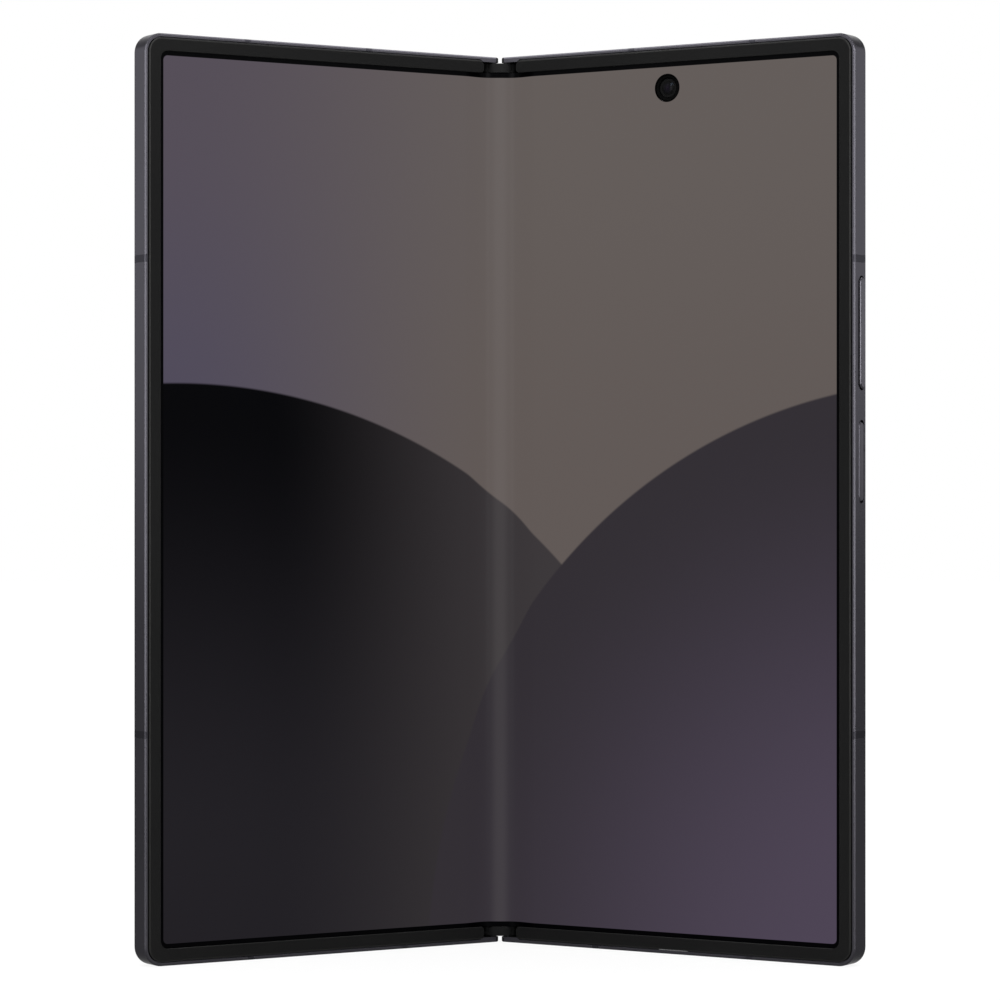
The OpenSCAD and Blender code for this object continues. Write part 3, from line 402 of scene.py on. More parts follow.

# %% [markdown]
# ## The part of the screen that bends
#
# Between the halves the screen turns gradually: not at all on the hinge line, and fully
# where a half's flat part starts. So each point's rest place is found by repeating the
# rule until it settles. The strip is made once, in the pose that is shown.

# %% Bending strip, one piece per half
STRIP_EDGE_Z = 2.9
STRIP_END_X = 0.99 * float(place("right", FOLD_HALF, 0, 0)[0]) / MM


def settled_turn(s, t):
    """Each point's own turn at rest, which agrees with the share that its place gives."""
    share = s / FOLD_HALF
    for _ in range(60):
        x = place("right", s, t, 0, share * FOLD)[..., 0] / MM
        u = np.clip(x / STRIP_END_X, 0, 1)
        share = u * u * (3 - 2 * u)
    return share * FOLD


def bending_strip(name, side, depth, thick, reach, z0, z1, material, across=28, along=12):
    """A closed slab from the hinge line to reach. depth gives its front's t for each s."""
    steps_s = np.linspace(0, reach, across + 1)
    steps_z = np.linspace(z0, z1, along + 1)
    points, flat = [], []
    for behind in (0, thick):
        s, z = np.meshgrid(steps_s, steps_z, indexing="ij")
        t = depth(s) + behind
        points.append(place(side, s, t, z, settled_turn(s, t)).reshape(-1, 3))
        flat += list(zip(s.ravel(), z.ravel()))
    count = (across + 1) * (along + 1)
    cell = lambda i, j, back: back * count + i * (along + 1) + j
    faces = []
    for back in (0, 1):
        for i in range(across):
            for j in range(along):
                faces.append([cell(i, j, back), cell(i + 1, j, back), cell(i + 1, j + 1, back), cell(i, j + 1, back)])
    for i in range(across):
        for j in (0, along):
            faces.append([cell(i, j, 0), cell(i + 1, j, 0), cell(i + 1, j, 1), cell(i, j, 1)])
    for j in range(along):
        for i in (0, across):
            faces.append([cell(i, j, 0), cell(i, j + 1, 0), cell(i, j + 1, 1), cell(i, j, 1)])
    mesh = bpy.data.meshes.new(name)
    mesh.from_pydata(np.concatenate(points).tolist(), [], faces)
    work = bmesh.new()
    work.from_mesh(mesh)
    bmesh.ops.recalc_face_normals(work, faces=work.faces)
    work.to_mesh(mesh)
    work.free()
    write_flat_uv(mesh, side, flat)
    shade(mesh, 50)
    return new_piece(name, mesh, material)


def bend_with_hinge(piece):
    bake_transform(piece)


for side in HALVES:
    strip = bending_strip(
        "screen_fold_" + side, side, lambda s: 0 * s, SCREEN_T, FOLD_HALF, STRIP_EDGE_Z, HEIGHT - STRIP_EDGE_Z,
        screen_finish,
    )
    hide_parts("fold_strip")
    bend_with_hinge(strip)
    print(strip.name, len(strip.data.polygons), "faces")

# %% [markdown]
# ## Solids with softened edges
#
# The solids come as loose triangles with knife-sharp edges. A copy is merged, its flat
# faces are joined up, and a narrow bevel rounds every edge that is sharper than a limit.
# Weighted normals then keep the flats flat, so that light shows only on the edges.


# %% Softened copies of solids
SHARP_DEGREES = 28.0


def soften(node, body, slot, material, edge, width, clear_of_hinge=0.0, cut=None):
    """A copy of a solid with bevels of that width in mm, in the edge material, on its sharp edges.

    Edges that lie wholly nearer to the hinge line than clear_of_hinge mm stay as they are.
    Where cut is given, the faces are also divided at that x, in mm."""
    mesh = nodes[node].data.copy()
    mesh.materials.clear()
    mesh.polygons.foreach_set("material_index", [0] * len(mesh.polygons))
    work = bmesh.new()
    work.from_mesh(mesh)
    bmesh.ops.remove_doubles(work, verts=work.verts, dist=0.0005 * MM)
    bmesh.ops.dissolve_limit(work, angle_limit=math.radians(0.6), verts=work.verts, edges=work.edges)
    if cut is not None:
        whole = work.verts[:] + work.edges[:] + work.faces[:]
        bmesh.ops.bisect_plane(work, geom=whole, dist=1e-8, plane_co=(cut * MM, 0, 0), plane_no=(1, 0, 0))
    weight = work.edges.layers.float.new("bevel_weight_edge")
    for e in work.edges:
        sharp = len(e.link_faces) == 2 and e.calc_face_angle(0) > math.radians(SHARP_DEGREES)
        far = max(abs(v.co.x) for v in e.verts) > clear_of_hinge * MM
        e[weight] = float(sharp and far and e.calc_length() > 2 * width * MM)
    work.to_mesh(mesh)
    work.free()
    piece = new_piece(node + "_soft", mesh, material, edge)
    bevel = piece.modifiers.new("edge", "BEVEL")
    bevel.material = 1
    bevel.width = width * MM
    bevel.segments = 2
    bevel.limit_method = "WEIGHT"
    bevel.use_clamp_overlap = False
    bevel.miter_outer = "MITER_ARC"
    done = bpy.data.meshes.new_from_object(piece.evaluated_get(bpy.context.evaluated_depsgraph_get()))
    piece.modifiers.clear()
    piece.data = done
    shade(done, 40)
    weighted = piece.modifiers.new("normals", "WEIGHTED_NORMAL")
    weighted.keep_sharp = True
    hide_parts(node)
    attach(piece, body)
    return piece


SOFTENED = [
    ("left_frame", "left_half", "frame_metal", graphite, graphite_edge, 0.03),
    ("right_frame", "right_half", "frame_metal", graphite, graphite_edge, 0.03),
    ("left_bezel", "left_half", "bezel_plastic", bezel_plastic, bezel_edge, 0.03),
    ("right_bezel", "right_half", "bezel_plastic", bezel_plastic, bezel_edge, 0.03),
    ("spine_cover", "spine", "frame_metal", graphite, graphite_edge, 0.04),
    ("end_caps", "spine", "frame_metal", cap_plastic, cap_plastic, 0.06),
    ("volume_key", "volume_key", "frame_metal", key_metal, graphite_edge, 0.05),
    ("side_key", "side_key", "frame_metal", key_metal, graphite_edge, 0.05),
    ("camera_island", "right_half", "frame_metal", graphite, graphite_edge, 0.12),
    ("lens_rings", "right_half", "frame_metal", key_metal, graphite_edge, 0.05),
    ("rear_glass", "right_half", "back_glass", rear_glass_finish, rear_glass_finish, 0.08),
    ("sim_tray", "sim_tray", "frame_metal", graphite, graphite_edge, 0.04),
]
# painted shade: the black beside the hinge reaches this far from the hinge line, in mm
SHADE_PAINT_X = 0.66  # the paint beside the hinge ends here
HINGE_END_X = 3.2  # edges nearer than this are too fine to round
FRAME_SIDE = {"left_frame": -1, "right_frame": 1}
softened = {}
for node, body, slot, material, edge, width in SOFTENED:
    extra = dict(clear_of_hinge=HINGE_END_X, cut=FRAME_SIDE[node] * SHADE_PAINT_X) if node in FRAME_SIDE else {}
    softened[node] = soften(node, body, slot, material, edge, width, **extra)
    print(node, len(softened[node].data.polygons), "faces")

# %% [markdown]
# The bezel's outer slope is polished, and shows as a thin lighter line. Its faces lean
# away from the flat front by some 25 degrees, which the cosine of that lean tells.

# %% Polished slope of the bezels
SLOPE_COSINES = (0.8, 0.96)
for node, side in (("left_bezel", "left"), ("right_bezel", "right")):
    mesh = softened[node].data
    front = (Vector(place(side, 0, -1, 0)) - Vector(place(side, 0, 0, 0))).normalized()
    sloped = 0
    for face in mesh.polygons:
        if SLOPE_COSINES[0] < face.normal.dot(front) < SLOPE_COSINES[1] and face.material_index == 0:
            face.material_index = 1
            sloped += 1
    print(node, sloped, "faces on the slope")

# %% [markdown]
# The last third of a millimetre of each rail beside the hinge lies in the gap between the
# halves, where shade falls, and is painted black as painted shade, and so are the rail's
# inner face and its end. The cut that `soften` made across the rail gives the painted
# shade a crisp edge.

# %% Painted shade: black ends beside the hinge
RAIL_DEPTH, INNER_REACH = 1.2, 26.0
for node in FRAME_SIDE:
    mesh = softened[node].data
    mesh.materials.append(painted_shade_black)
    painted = 0
    for face in mesh.polygons:
        reach = max(abs(mesh.vertices[v].co.x) for v in face.vertices) / MM
        above = face.center.z / MM - MID
        inwards = -face.normal.z * math.copysign(1, above) > 0.6
        if abs(above) > MID - RAIL_DEPTH and (reach < SHADE_PAINT_X + 0.01 or inwards and reach < INNER_REACH):
            face.material_index = 2
            painted += 1
    print(node, painted, "faces painted")

# %% Painted shade: black inside of the spine cover
mesh = softened["spine_cover"].data
mesh.materials.append(painted_shade_black)
# painted shade: the cover's inner faces, between the bezel's corner and the screen, are black
for face in mesh.polygons:
    if face.normal.y < -0.5:
        face.material_index = 2
print("spine cover:", sum(face.material_index == 2 for face in mesh.polygons), "faces black")

# %% [markdown]
# ## Solids that keep their own mesh
#
# Inner parts and small straight-edged ones are right as they are. A bevel would only add
# faces that nobody sees, so they keep the solids' meshes and get the finish of the real
# material: stamped steel for the carriers, sintered steel for the gears, foil for the
# batteries, coated board for the electronics.

# %% Finishes for the other solids
KEPT = {
    steel: "spine_frame idler_pins friction_washers left_plate right_plate left_brackets right_brackets "
    "left_shafts right_shafts left_screws right_screws left_board_screws right_board_screws left_magnets "
    "right_magnets vibration_motor",
    gear_steel: "left_gears right_gears left_idlers right_idlers",
    can_metal: "shield_cans sim_cage usb_port",
    break_plastic: "left_breaks right_breaks",
    front_glass: "cover_display",
    camera_black: "cover_camera speakers earpiece",
    battery_foil: "left_battery right_battery",
    board_green: "main_board left_board",
    copper: "charging_coil",
    flex_film: "key_switches",
}
for material, names in KEPT.items():
    for name in names.split():
        mesh = nodes[name].data
        mesh.materials.clear()
        mesh.materials.append(material)
print("kept solids:", sum(len(names.split()) for names in KEPT.values()))

# %% [markdown]
# ## Turned pieces: lenses and barrels
#
# A lens and the barrel round it are bodies of revolution. `turned` spins a profile of
# (radius, depth) points about an axis through a place on a half. It also notes each
# point's radius, so that a lens's colour can change from the middle to the rim: painted
# reflections of its coating.


# %% Turning a profile
def turned(name, side, s, z, profile, *materials, bands=None, steps=72):
    """bands gives a material number for each stretch of the profile."""
    points, faces, kinds, rings = [], [], [], []
    for r, t in profile:
        if r == 0:
            rings.append([len(points)] * steps)
            points.append(place(side, s, t, z))
        else:
            a = np.linspace(0, 2 * math.pi, steps, endpoint=False)
            rings.append(list(range(len(points), len(points) + steps)))
            points += list(place(side, s + r * np.cos(a), t, z + r * np.sin(a)))
    for k, (low, high) in enumerate(zip(rings, rings[1:])):
        for i in range(steps):
            j = (i + 1) % steps
            faces.append(list(dict.fromkeys([low[i], low[j], high[j], high[i]])))
            kinds.append(bands[k] if bands else 0)
    mesh = bpy.data.meshes.new(name)
    mesh.from_pydata([tuple(p) for p in points], [], faces)
    work = bmesh.new()
    work.from_mesh(mesh)
    bmesh.ops.recalc_face_normals(work, faces=work.faces)
    work.to_mesh(mesh)
    work.free()
    mesh.polygons.foreach_set("material_index", kinds)
    middle = Vector(place(side, s, 0, z))
    axis = (Vector(place(side, s, 1, z)) - middle).normalized()
    radius = mesh.attributes.new("radius_mm", "FLOAT", "POINT")
    for v in mesh.vertices:
        away = v.co - middle
        radius.data[v.index].value = (away - axis * away.dot(axis)).length / MM
    shade(mesh, 25)
    return new_piece(name, mesh, *materials)


def dome(radius, height, t, towards, steps=10):
    """Profile of a lens cap from its middle to its rim; towards is -1 when it bulges to the screen side."""
    ball = (radius * radius + height * height) / (2 * height)
    turn = math.asin(radius / ball)
    return [
        (ball * math.sin(a), t + towards * (ball * math.cos(a) - (ball - height)))
        for a in np.linspace(0, turn, steps)
    ]


# %% Lens finishes
def glass_with_painted_reflection(name, stops, **values):
    """Dark glass with painted reflections of its coating, whose colour changes with the distance from its middle:
    stops are (mm, colour) pairs.
    """
    material, shader = shader_material(name, Roughness=0.06, **values)
    tree = material.node_tree
    radius = wire(tree, "ShaderNodeAttribute", out=2, attribute_name="radius_mm")
    place_in = wire(tree, "ShaderNodeTexCoord", out=3)
    haze = wire(tree, "ShaderNodeTexNoise", place_in, None, 900.0, 2.0)
    wavy = calc(tree, "ADD", radius, calc(tree, "MULTIPLY", calc(tree, "SUBTRACT", haze, 0.5), 0.12))
    shown = stops[0][1]
    for (near, _), (far, colour) in zip(stops, stops[1:]):
        share = wire(tree, "ShaderNodeMapRange", wavy, near, far, 0.0, 1.0, interpolation_type="SMOOTHSTEP")
        shown = mix_colour(tree, share, shown, colour)
    tree.links.new(shown, shader.inputs["Base Color"])
    rough = wire(tree, "ShaderNodeMapRange", haze, 0.35, 0.7, 0.03, 0.09)
    tree.links.new(rough, shader.inputs["Roughness"])
    return material


# painted reflections: these colours stand in for the reflections of the lens coatings
SMALL_LENS_PAINTED_REFLECTION = [(0.0, rgb(24, 19, 29)), (0.5, rgb(20, 19, 23)), (1.1, rgb(17, 17, 17))]
LARGE_LENS_PAINTED_REFLECTION = [
    (0.0, rgb(4, 4, 6)),
    (0.55, rgb(8, 10, 20)),
    (0.75, rgb(20, 34, 70)),
    (1.3, rgb(44, 22, 66)),
    (1.9, rgb(16, 34, 40)),
    (2.4, rgb(8, 8, 10)),
]
small_lens = glass_with_painted_reflection("small_lens", SMALL_LENS_PAINTED_REFLECTION, Specular_IOR_Level=0.008)
large_lens = glass_with_painted_reflection(
    "large_lens", LARGE_LENS_PAINTED_REFLECTION, Specular_IOR_Level=0.5, Specular_Tint=(0.42, 0.5, 1.0, 1.0)
)
clear_glass, clear_shader = shader_material(
    "clear_glass", Base_Color=(0.96, 0.97, 0.98, 1), Roughness=0.02, IOR=1.5, Specular_IOR_Level=0.08,
    Transmission_Weight=1.0,
)
lens_print = finish(
    "lens_print", rgb(4, 4, 5), rgb(7, 7, 8), (0.05, 0.1), broad=120.0, height=0, Specular_IOR_Level=0.12
)
barrel_black = finish("barrel_black", rgb(2, 2, 2), rgb(4, 4, 4), (0.5, 0.65), Specular_IOR_Level=0.005)
barrel_ring = finish("barrel_ring", rgb(16, 16, 17), rgb(24, 24, 26), (0.2, 0.3), **METAL)
phosphor = finish("flash_phosphor", rgb(214, 186, 92), rgb(232, 208, 120), (0.4, 0.6), broad=1500.0)
flash_clear = finish(
    "flash_clear",
    rgb(206, 204, 192),
    rgb(226, 222, 208),
    (0.12, 0.22),
    broad=300.0,
    height=0,
    Transmission_Weight=0.55,
)
print("lens finishes ready")

# %% [markdown]
# The small camera looks through the hole in the screen. Round its lens runs a black
# barrel that fills the hole. The lens itself is a cap of dark glass with a violet painted
# reflection in its middle, and its bulge catches a small lamp of its own as one bluish
# glint near its upper right rim.

# %% Camera behind the inner screen
INNER_RIM = CAMERA_HOLE_R - 0.05
barrel = turned(
    "inner_camera_barrel",
    "right",
    CAMERA_S,
    CAMERA_Z,
    [(0, 0.85), (1.7, 0.85), (1.72, 0.3), (1.8, 0.16), (2.2, 0.12), (INNER_RIM, 0.2), (INNER_RIM, 1.25), (0, 1.25)],
    barrel_black,
)
lens_cap = turned(
    "inner_camera_lens", "right", CAMERA_S, CAMERA_Z,
    dome(1.2, 0.3, 0.36, -1) + [(1.24, 0.37), (1.62, 0.34), (1.67, 0.38), (1.67, 0.8), (0, 0.8)],
    small_lens,
)
for piece, node in ((barrel, "inner_camera"), (lens_cap, "inner_window")):
    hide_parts(node)
    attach(piece, "right_half")
print("inner camera at s", CAMERA_S, "z", CAMERA_Z)

# %% [markdown]
# The three cameras at the back sit in one island. Each has a flat window with a black
# printed ring, and under its clear middle a barrel that steps down to a lens whose
# coloured rings are painted reflections of its coating.

# %% Cameras at the back
GLASS_T = 0.48
ISLAND_S, ISLAND_Z, ISLAND_T, LENS_PITCH = HALF_WIDTH - 14.6, HEIGHT - 36, 1.7, 17.4
WINDOW_T, WINDOW_R, HOUSING_R = THICK + ISLAND_T - 0.3, 5.38, 5.3
BODY_T0, BODY_T1, BODY_HALF = 1.2, 3.3, 5.6
STEP_IN, STEP_DOWN, FIRST_STEP = 0.28, 0.3, 0.25
CAMERA_PLACES = (ISLAND_Z - LENS_PITCH, ISLAND_Z, ISLAND_Z + LENS_PITCH)
CAMERA_OPENINGS = (3.3, 3.7, 3.0)
for k, (z, opening) in enumerate(zip(CAMERA_PLACES, CAMERA_OPENINGS)):
    ring = turned(
        f"lens_window_{k}",
        "right",
        ISLAND_S,
        z,
        [
            (0, WINDOW_T + 0.02),
            (opening, WINDOW_T + 0.02),
            (WINDOW_R, WINDOW_T + 0.02),
            (WINDOW_R, WINDOW_T + 0.42),
            (HOUSING_R, WINDOW_T + 0.5),
            (opening, WINDOW_T + 0.5),
            (0, WINDOW_T + 0.5),
        ],
        lens_print,
        clear_glass,
        bands=[1, 0, 0, 0, 0, 1],
    )
    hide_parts("lens_windows")
    steps = [(0, BODY_T1), (HOUSING_R, BODY_T1), (HOUSING_R, WINDOW_T), (opening + 0.1, WINDOW_T)]
    steps += [(opening, WINDOW_T - FIRST_STEP)]
    kinds = [0, 0, 0, 0]
    for level in range(1, 4):
        depth = WINDOW_T - FIRST_STEP - STEP_DOWN * level
        steps += [(opening - STEP_IN * (level - 1), depth), (opening - STEP_IN * level, depth)]
        kinds += [0, 1 if level == 2 else 0]
    inner_r, floor_t = opening - STEP_IN * 3, WINDOW_T - 1.3
    steps += [(inner_r, floor_t), (0, floor_t)]
    kinds += [0, 0]
    housing = turned(
        f"camera_barrel_{k}", "right", ISLAND_S, z, steps, barrel_black, barrel_ring, bands=kinds
    )
    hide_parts("camera_modules")
    glass = turned(
        f"camera_lens_{k}",
        "right",
        ISLAND_S,
        z,
        dome(inner_r - 0.05, 0.55, floor_t + 0.1, 1) + [(inner_r - 0.05, floor_t + 0.02), (0, floor_t + 0.02)],
        large_lens,
    )
    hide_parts("lens_windows")
    for piece in (ring, housing, glass):
        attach(piece, "right_half")
print("three cameras, each", len(housing.data.polygons), "faces of barrel")


# %% [markdown]
# Under the barrels are the square camera bodies. A rounded square outline, filled and
# extruded by `plate`, is enough, because only their edges could ever be seen.

# %% Square bodies of the cameras
def rounded_rect(s0, z0, s1, z1, r, steps=6):
    return (
        arc(s1 - r, z1 - r, r, 0, 90, steps)
        + arc(s0 + r, z1 - r, r, 90, 180, steps)
        + arc(s0 + r, z0 + r, r, 180, 270, steps)
        + arc(s1 - r, z0 + r, r, 270, 360, steps)
    )


for k, z in enumerate(CAMERA_PLACES):
    square = rounded_rect(ISLAND_S - BODY_HALF, z - BODY_HALF, ISLAND_S + BODY_HALF, z + BODY_HALF, 0.8)
    base = plate(f"camera_body_{k}", "right", [square], BODY_T0, BODY_T1, camera_black)
    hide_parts("camera_modules")
    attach(base, "right_half")

# %% [markdown]
# The lamp beside the cameras has a lens of fine rings over its yellow phosphor. The rings
# are just more points in the profile.

# %% Flash
flash_s, flash_z, flash_top = ISLAND_S - 15, ISLAND_Z + LENS_PITCH, THICK
rings = [(0, flash_top - 0.1)]
for k in range(1, 9):
    rings += [(0.22 * k, flash_top - 0.03), (0.22 * k + 0.02, flash_top - 0.1)]
flash_lens = turned(
    "flash_lens",
    "right",
    flash_s,
    flash_z,
    rings + [(2.1, flash_top - 0.01), (2.18, flash_top - 0.08), (2.18, 3.62), (0, 3.62)],
    flash_clear,
)
flash_led = turned("flash_led", "right", flash_s, flash_z, [(0, 3.6), (1.5, 3.6), (1.6, 3.54), (0, 3.54)], phosphor)
for piece in (flash_lens, flash_led):
    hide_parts("flash_window")
    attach(piece, "right_half")

# %% [markdown]
# ## Outer glass of the left half
#
# The outer screen is off, so its glass is plain glossy black, with a hole for its own
# small camera and a notch at the top edge for the earpiece. `plate` makes the glass with
# its hole, and the same bevel as before softens its edges.

# %% Outer glass with its camera
COVER_CAM_S, COVER_CAM_Z, COVER_HOLE_R = HALF_WIDTH / 2 + 1, HEIGHT - 7.6, 1.5
EAR_HALF, EAR_Z = 5.5, HEIGHT - 1.45
GLASS_INSET, GLASS_S0, GLASS_R = 0.96, 3.06, 2.24
top_z, side_s = HEIGHT - GLASS_INSET, HALF_WIDTH - GLASS_INSET
glass_loop = (
    [(GLASS_S0, GLASS_INSET)]
    + arc(side_s - GLASS_R, GLASS_INSET + GLASS_R, GLASS_R, -90, 0, 12)
    + arc(side_s - GLASS_R, top_z - GLASS_R, GLASS_R, 0, 90, 12)
    + [(COVER_CAM_S + EAR_HALF, top_z), (COVER_CAM_S + EAR_HALF, EAR_Z)]
    + [(COVER_CAM_S - EAR_HALF, EAR_Z), (COVER_CAM_S - EAR_HALF, top_z), (GLASS_S0, top_z)]
)
hole = arc(COVER_CAM_S, COVER_CAM_Z, COVER_HOLE_R, 0, 360 - 360 / 64, 64)
outer_glass = plate("outer_glass", "left", [glass_loop, hole], THICK - GLASS_T, THICK, front_glass)


def round_edges(piece, width, segments=3, limit=40.0):
    """Joins flat faces, bevels sharp edges and leaves a plain mesh."""
    work = bmesh.new()
    work.from_mesh(piece.data)
    bmesh.ops.dissolve_limit(work, angle_limit=math.radians(0.5), verts=work.verts, edges=work.edges)
    work.to_mesh(piece.data)
    work.free()
    bevel = piece.modifiers.new("edge", "BEVEL")
    bevel.width, bevel.segments, bevel.angle_limit = width * MM, segments, math.radians(limit)
    bevel.use_clamp_overlap = False
    done = bpy.data.meshes.new_from_object(piece.evaluated_get(bpy.context.evaluated_depsgraph_get()))
    piece.modifiers.clear()
    piece.data = done
    shade(done, 35)
    weighted = piece.modifiers.new("normals", "WEIGHTED_NORMAL")
    weighted.keep_sharp = True


round_edges(outer_glass, 0.12)
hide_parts("cover_glass")
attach(outer_glass, "left_half")
cover_lens = turned(
    "cover_camera_lens",
    "left",
    COVER_CAM_S,
    COVER_CAM_Z,
    dome(1.1, 0.2, 3.9, 1) + [(1.15, 3.9), (1.3, 4.1), (1.46, 4.14), (1.46, 3.73), (0, 3.73)],
    small_lens,
    barrel_black,
    bands=[0] * 9 + [1] * 5,
)
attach(cover_lens, "left_half")
print("outer glass", len(outer_glass.data.polygons), "faces")

# %% [markdown]
# ## What repeats: small trees of nodes
#
# Contacts and slots repeat in rows. Each kind is one small Geometry Nodes tree with
# named sizes. Its result is taken out as a plain flat mesh, in (s, z, t), and then every
# point is put in its place on the half.


# %% Helpers for node trees
def grow(name, tree, values):
    """Runs a tree on an empty object with these named inputs and returns the mesh that comes out."""
    holder = bpy.data.objects.new(name, bpy.data.meshes.new(name))
    bpy.context.scene.collection.objects.link(holder)
    modifier = holder.modifiers.new("grow", "NODES")
    modifier.node_group = tree
    for item in tree.interface.items_tree:
        if item.item_type == "SOCKET" and item.in_out == "INPUT":
            modifier[item.identifier] = values[item.name]
    result = bpy.data.meshes.new_from_object(holder.evaluated_get(bpy.context.evaluated_depsgraph_get()))
    bpy.data.objects.remove(holder)
    result.name = name
    return result


def new_tree(name, **inputs):
    """A geometry tree with named inputs, each given by its socket type."""
    tree = bpy.data.node_groups.new(name, "GeometryNodeTree")
    for label, kind in inputs.items():
        tree.interface.new_socket(label.replace("_", " "), in_out="INPUT", socket_type=kind)
    tree.interface.new_socket("Geometry", in_out="OUTPUT", socket_type="NodeSocketGeometry")
    return tree, tree.nodes.new("NodeGroupInput"), tree.nodes.new("NodeGroupOutput")


def to_half(mesh, side, bend=False, shift=(0, 0, 0)):
    """Moves a mesh from flat (s, z, t) in mm, shifted first, to its place on a half."""
    flat = np.empty(len(mesh.vertices) * 3)
    mesh.vertices.foreach_get("co", flat)
    s, z, t = (flat.reshape(-1, 3) + shift).T
    turn = settled_turn(s, t) if bend else FOLD
    mesh.vertices.foreach_set("co", place(side, s, t, z, turn).ravel())
    if side == "right":
        mesh.flip_normals()
    mesh.update()
    shade(mesh)


# %% A row of small blocks
blocks, given, result = new_tree(
    "row_of_blocks", Count="NodeSocketInt", Start="NodeSocketVector", Step="NodeSocketVector",
    Size="NodeSocketVector", Material="NodeSocketMaterial",
)
line = wire(
    blocks, "GeometryNodeMeshLine", given.outputs["Count"], None, given.outputs["Start"], given.outputs["Step"]
)
block = wire(blocks, "GeometryNodeMeshCube", given.outputs["Size"])
many = blocks.nodes.new("GeometryNodeInstanceOnPoints")
blocks.links.new(line, many.inputs["Points"])
blocks.links.new(block, many.inputs["Instance"])
real = wire(blocks, "GeometryNodeRealizeInstances", many.outputs[0])
dressed = blocks.nodes.new("GeometryNodeSetMaterial")
blocks.links.new(real, dressed.inputs["Geometry"])
blocks.links.new(given.outputs["Material"], dressed.inputs["Material"])
blocks.links.new(dressed.outputs[0], result.inputs[0])
print("tree for rows:", len(blocks.nodes), "nodes")

# %% Contacts in the charging socket
gold = finish("gold_plate", rgb(212, 170, 90), rgb(236, 200, 124), (0.15, 0.28), Metallic=1.0)
USB_S, USB_T = HALF_WIDTH / 2 + 0.2, 0.6 + 2.56 / 2 + 0.28
for k, above in enumerate((-0.36, 0.36)):
    contacts = grow(
        f"socket_contacts_{k}",
        blocks,
        {
            "Count": 12,
            "Start": (USB_S - 5.5 * 0.5, 2.6, USB_T + above),
            "Step": (0.5, 0.0, 0.0),
            "Size": (0.26, 2.6, 0.04),
            "Material": gold,
        },
    )
    to_half(contacts, "right")
    piece = new_piece(f"socket_contacts_{k}", contacts)
    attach(piece, "right_half")
    print(piece.name, len(contacts.polygons), "faces")

# %% [markdown]
# The bending part of the screen lies on a steel sheet with rows of staggered slots, which
# make it soft one way and stiff the other. The tree lays out a grid of faces, drops the
# ones that fall in a slot and thickens the rest.

# %% A sheet with staggered slots
slotted, given, result = new_tree(
    "slotted_sheet", Width="NodeSocketFloat", Length="NodeSocketFloat", Cells_across="NodeSocketInt",
    Cells_along="NodeSocketInt", Slot_cells="NodeSocketInt", Pitch_cells="NodeSocketInt",
    Thickness="NodeSocketFloat", Material="NodeSocketMaterial",
)
points_x = calc(slotted, "ADD", given.outputs["Cells across"], 1.0)
points_y = calc(slotted, "ADD", given.outputs["Cells along"], 1.0)
sheet = wire(slotted, "GeometryNodeMeshGrid", given.outputs["Width"], given.outputs["Length"], points_x, points_y)
where = slotted.nodes.new("ShaderNodeSeparateXYZ")
slotted.links.new(wire(slotted, "GeometryNodeInputPosition"), where.inputs[0])


def cell_number(along, size, cells):
    shifted = calc(slotted, "ADD", along, calc(slotted, "MULTIPLY", size, 0.5))
    return calc(slotted, "FLOOR", calc(slotted, "DIVIDE", calc(slotted, "MULTIPLY", shifted, cells), size))


column = cell_number(where.outputs[0], given.outputs["Width"], given.outputs["Cells across"])
row = cell_number(where.outputs[1], given.outputs["Length"], given.outputs["Cells along"])
in_column = calc(slotted, "COMPARE", calc(slotted, "MODULO", column, 3.0), 1.0)
in_column.node.inputs[2].default_value = 0.1
stagger = calc(slotted, "MODULO", calc(slotted, "FLOOR", calc(slotted, "DIVIDE", column, 3.0)), 2.0)
half_pitch = calc(slotted, "FLOOR", calc(slotted, "MULTIPLY", given.outputs["Pitch cells"], 0.5))
moved = calc(slotted, "ADD", row, calc(slotted, "MULTIPLY", stagger, half_pitch))
in_row = calc(
    slotted, "LESS_THAN", calc(slotted, "MODULO", moved, given.outputs["Pitch cells"]), given.outputs["Slot cells"]
)
margin = calc(slotted, "GREATER_THAN", row, 3.0)
far_margin = calc(slotted, "LESS_THAN", row, calc(slotted, "SUBTRACT", given.outputs["Cells along"], 4.0))
in_cell = calc(slotted, "MULTIPLY", in_column, in_row)
slot_here = calc(slotted, "MULTIPLY", in_cell, calc(slotted, "MULTIPLY", margin, far_margin))
holes = slotted.nodes.new("GeometryNodeDeleteGeometry")
holes.domain = "FACE"
slotted.links.new(sheet, holes.inputs["Geometry"])
slotted.links.new(slot_here, holes.inputs["Selection"])
up = wire(slotted, "ShaderNodeCombineXYZ", 0.0, 0.0, given.outputs["Thickness"])
raised = slotted.nodes.new("GeometryNodeExtrudeMesh")
raised.inputs["Individual"].default_value = False
slotted.links.new(holes.outputs[0], raised.inputs["Mesh"])
slotted.links.new(up, raised.inputs["Offset"])
turned_over = wire(slotted, "GeometryNodeFlipFaces", holes.outputs[0])
both = slotted.nodes.new("GeometryNodeJoinGeometry")
slotted.links.new(raised.outputs[0], both.inputs[0])
slotted.links.new(turned_over, both.inputs[0])
welded = wire(slotted, "GeometryNodeMergeByDistance", both.outputs[0])
real = wire(slotted, "GeometryNodeRealizeInstances", welded)
dressed = slotted.nodes.new("GeometryNodeSetMaterial")
slotted.links.new(real, dressed.inputs["Geometry"])
slotted.links.new(given.outputs["Material"], dressed.inputs["Material"])
slotted.links.new(dressed.outputs[0], result.inputs[0])

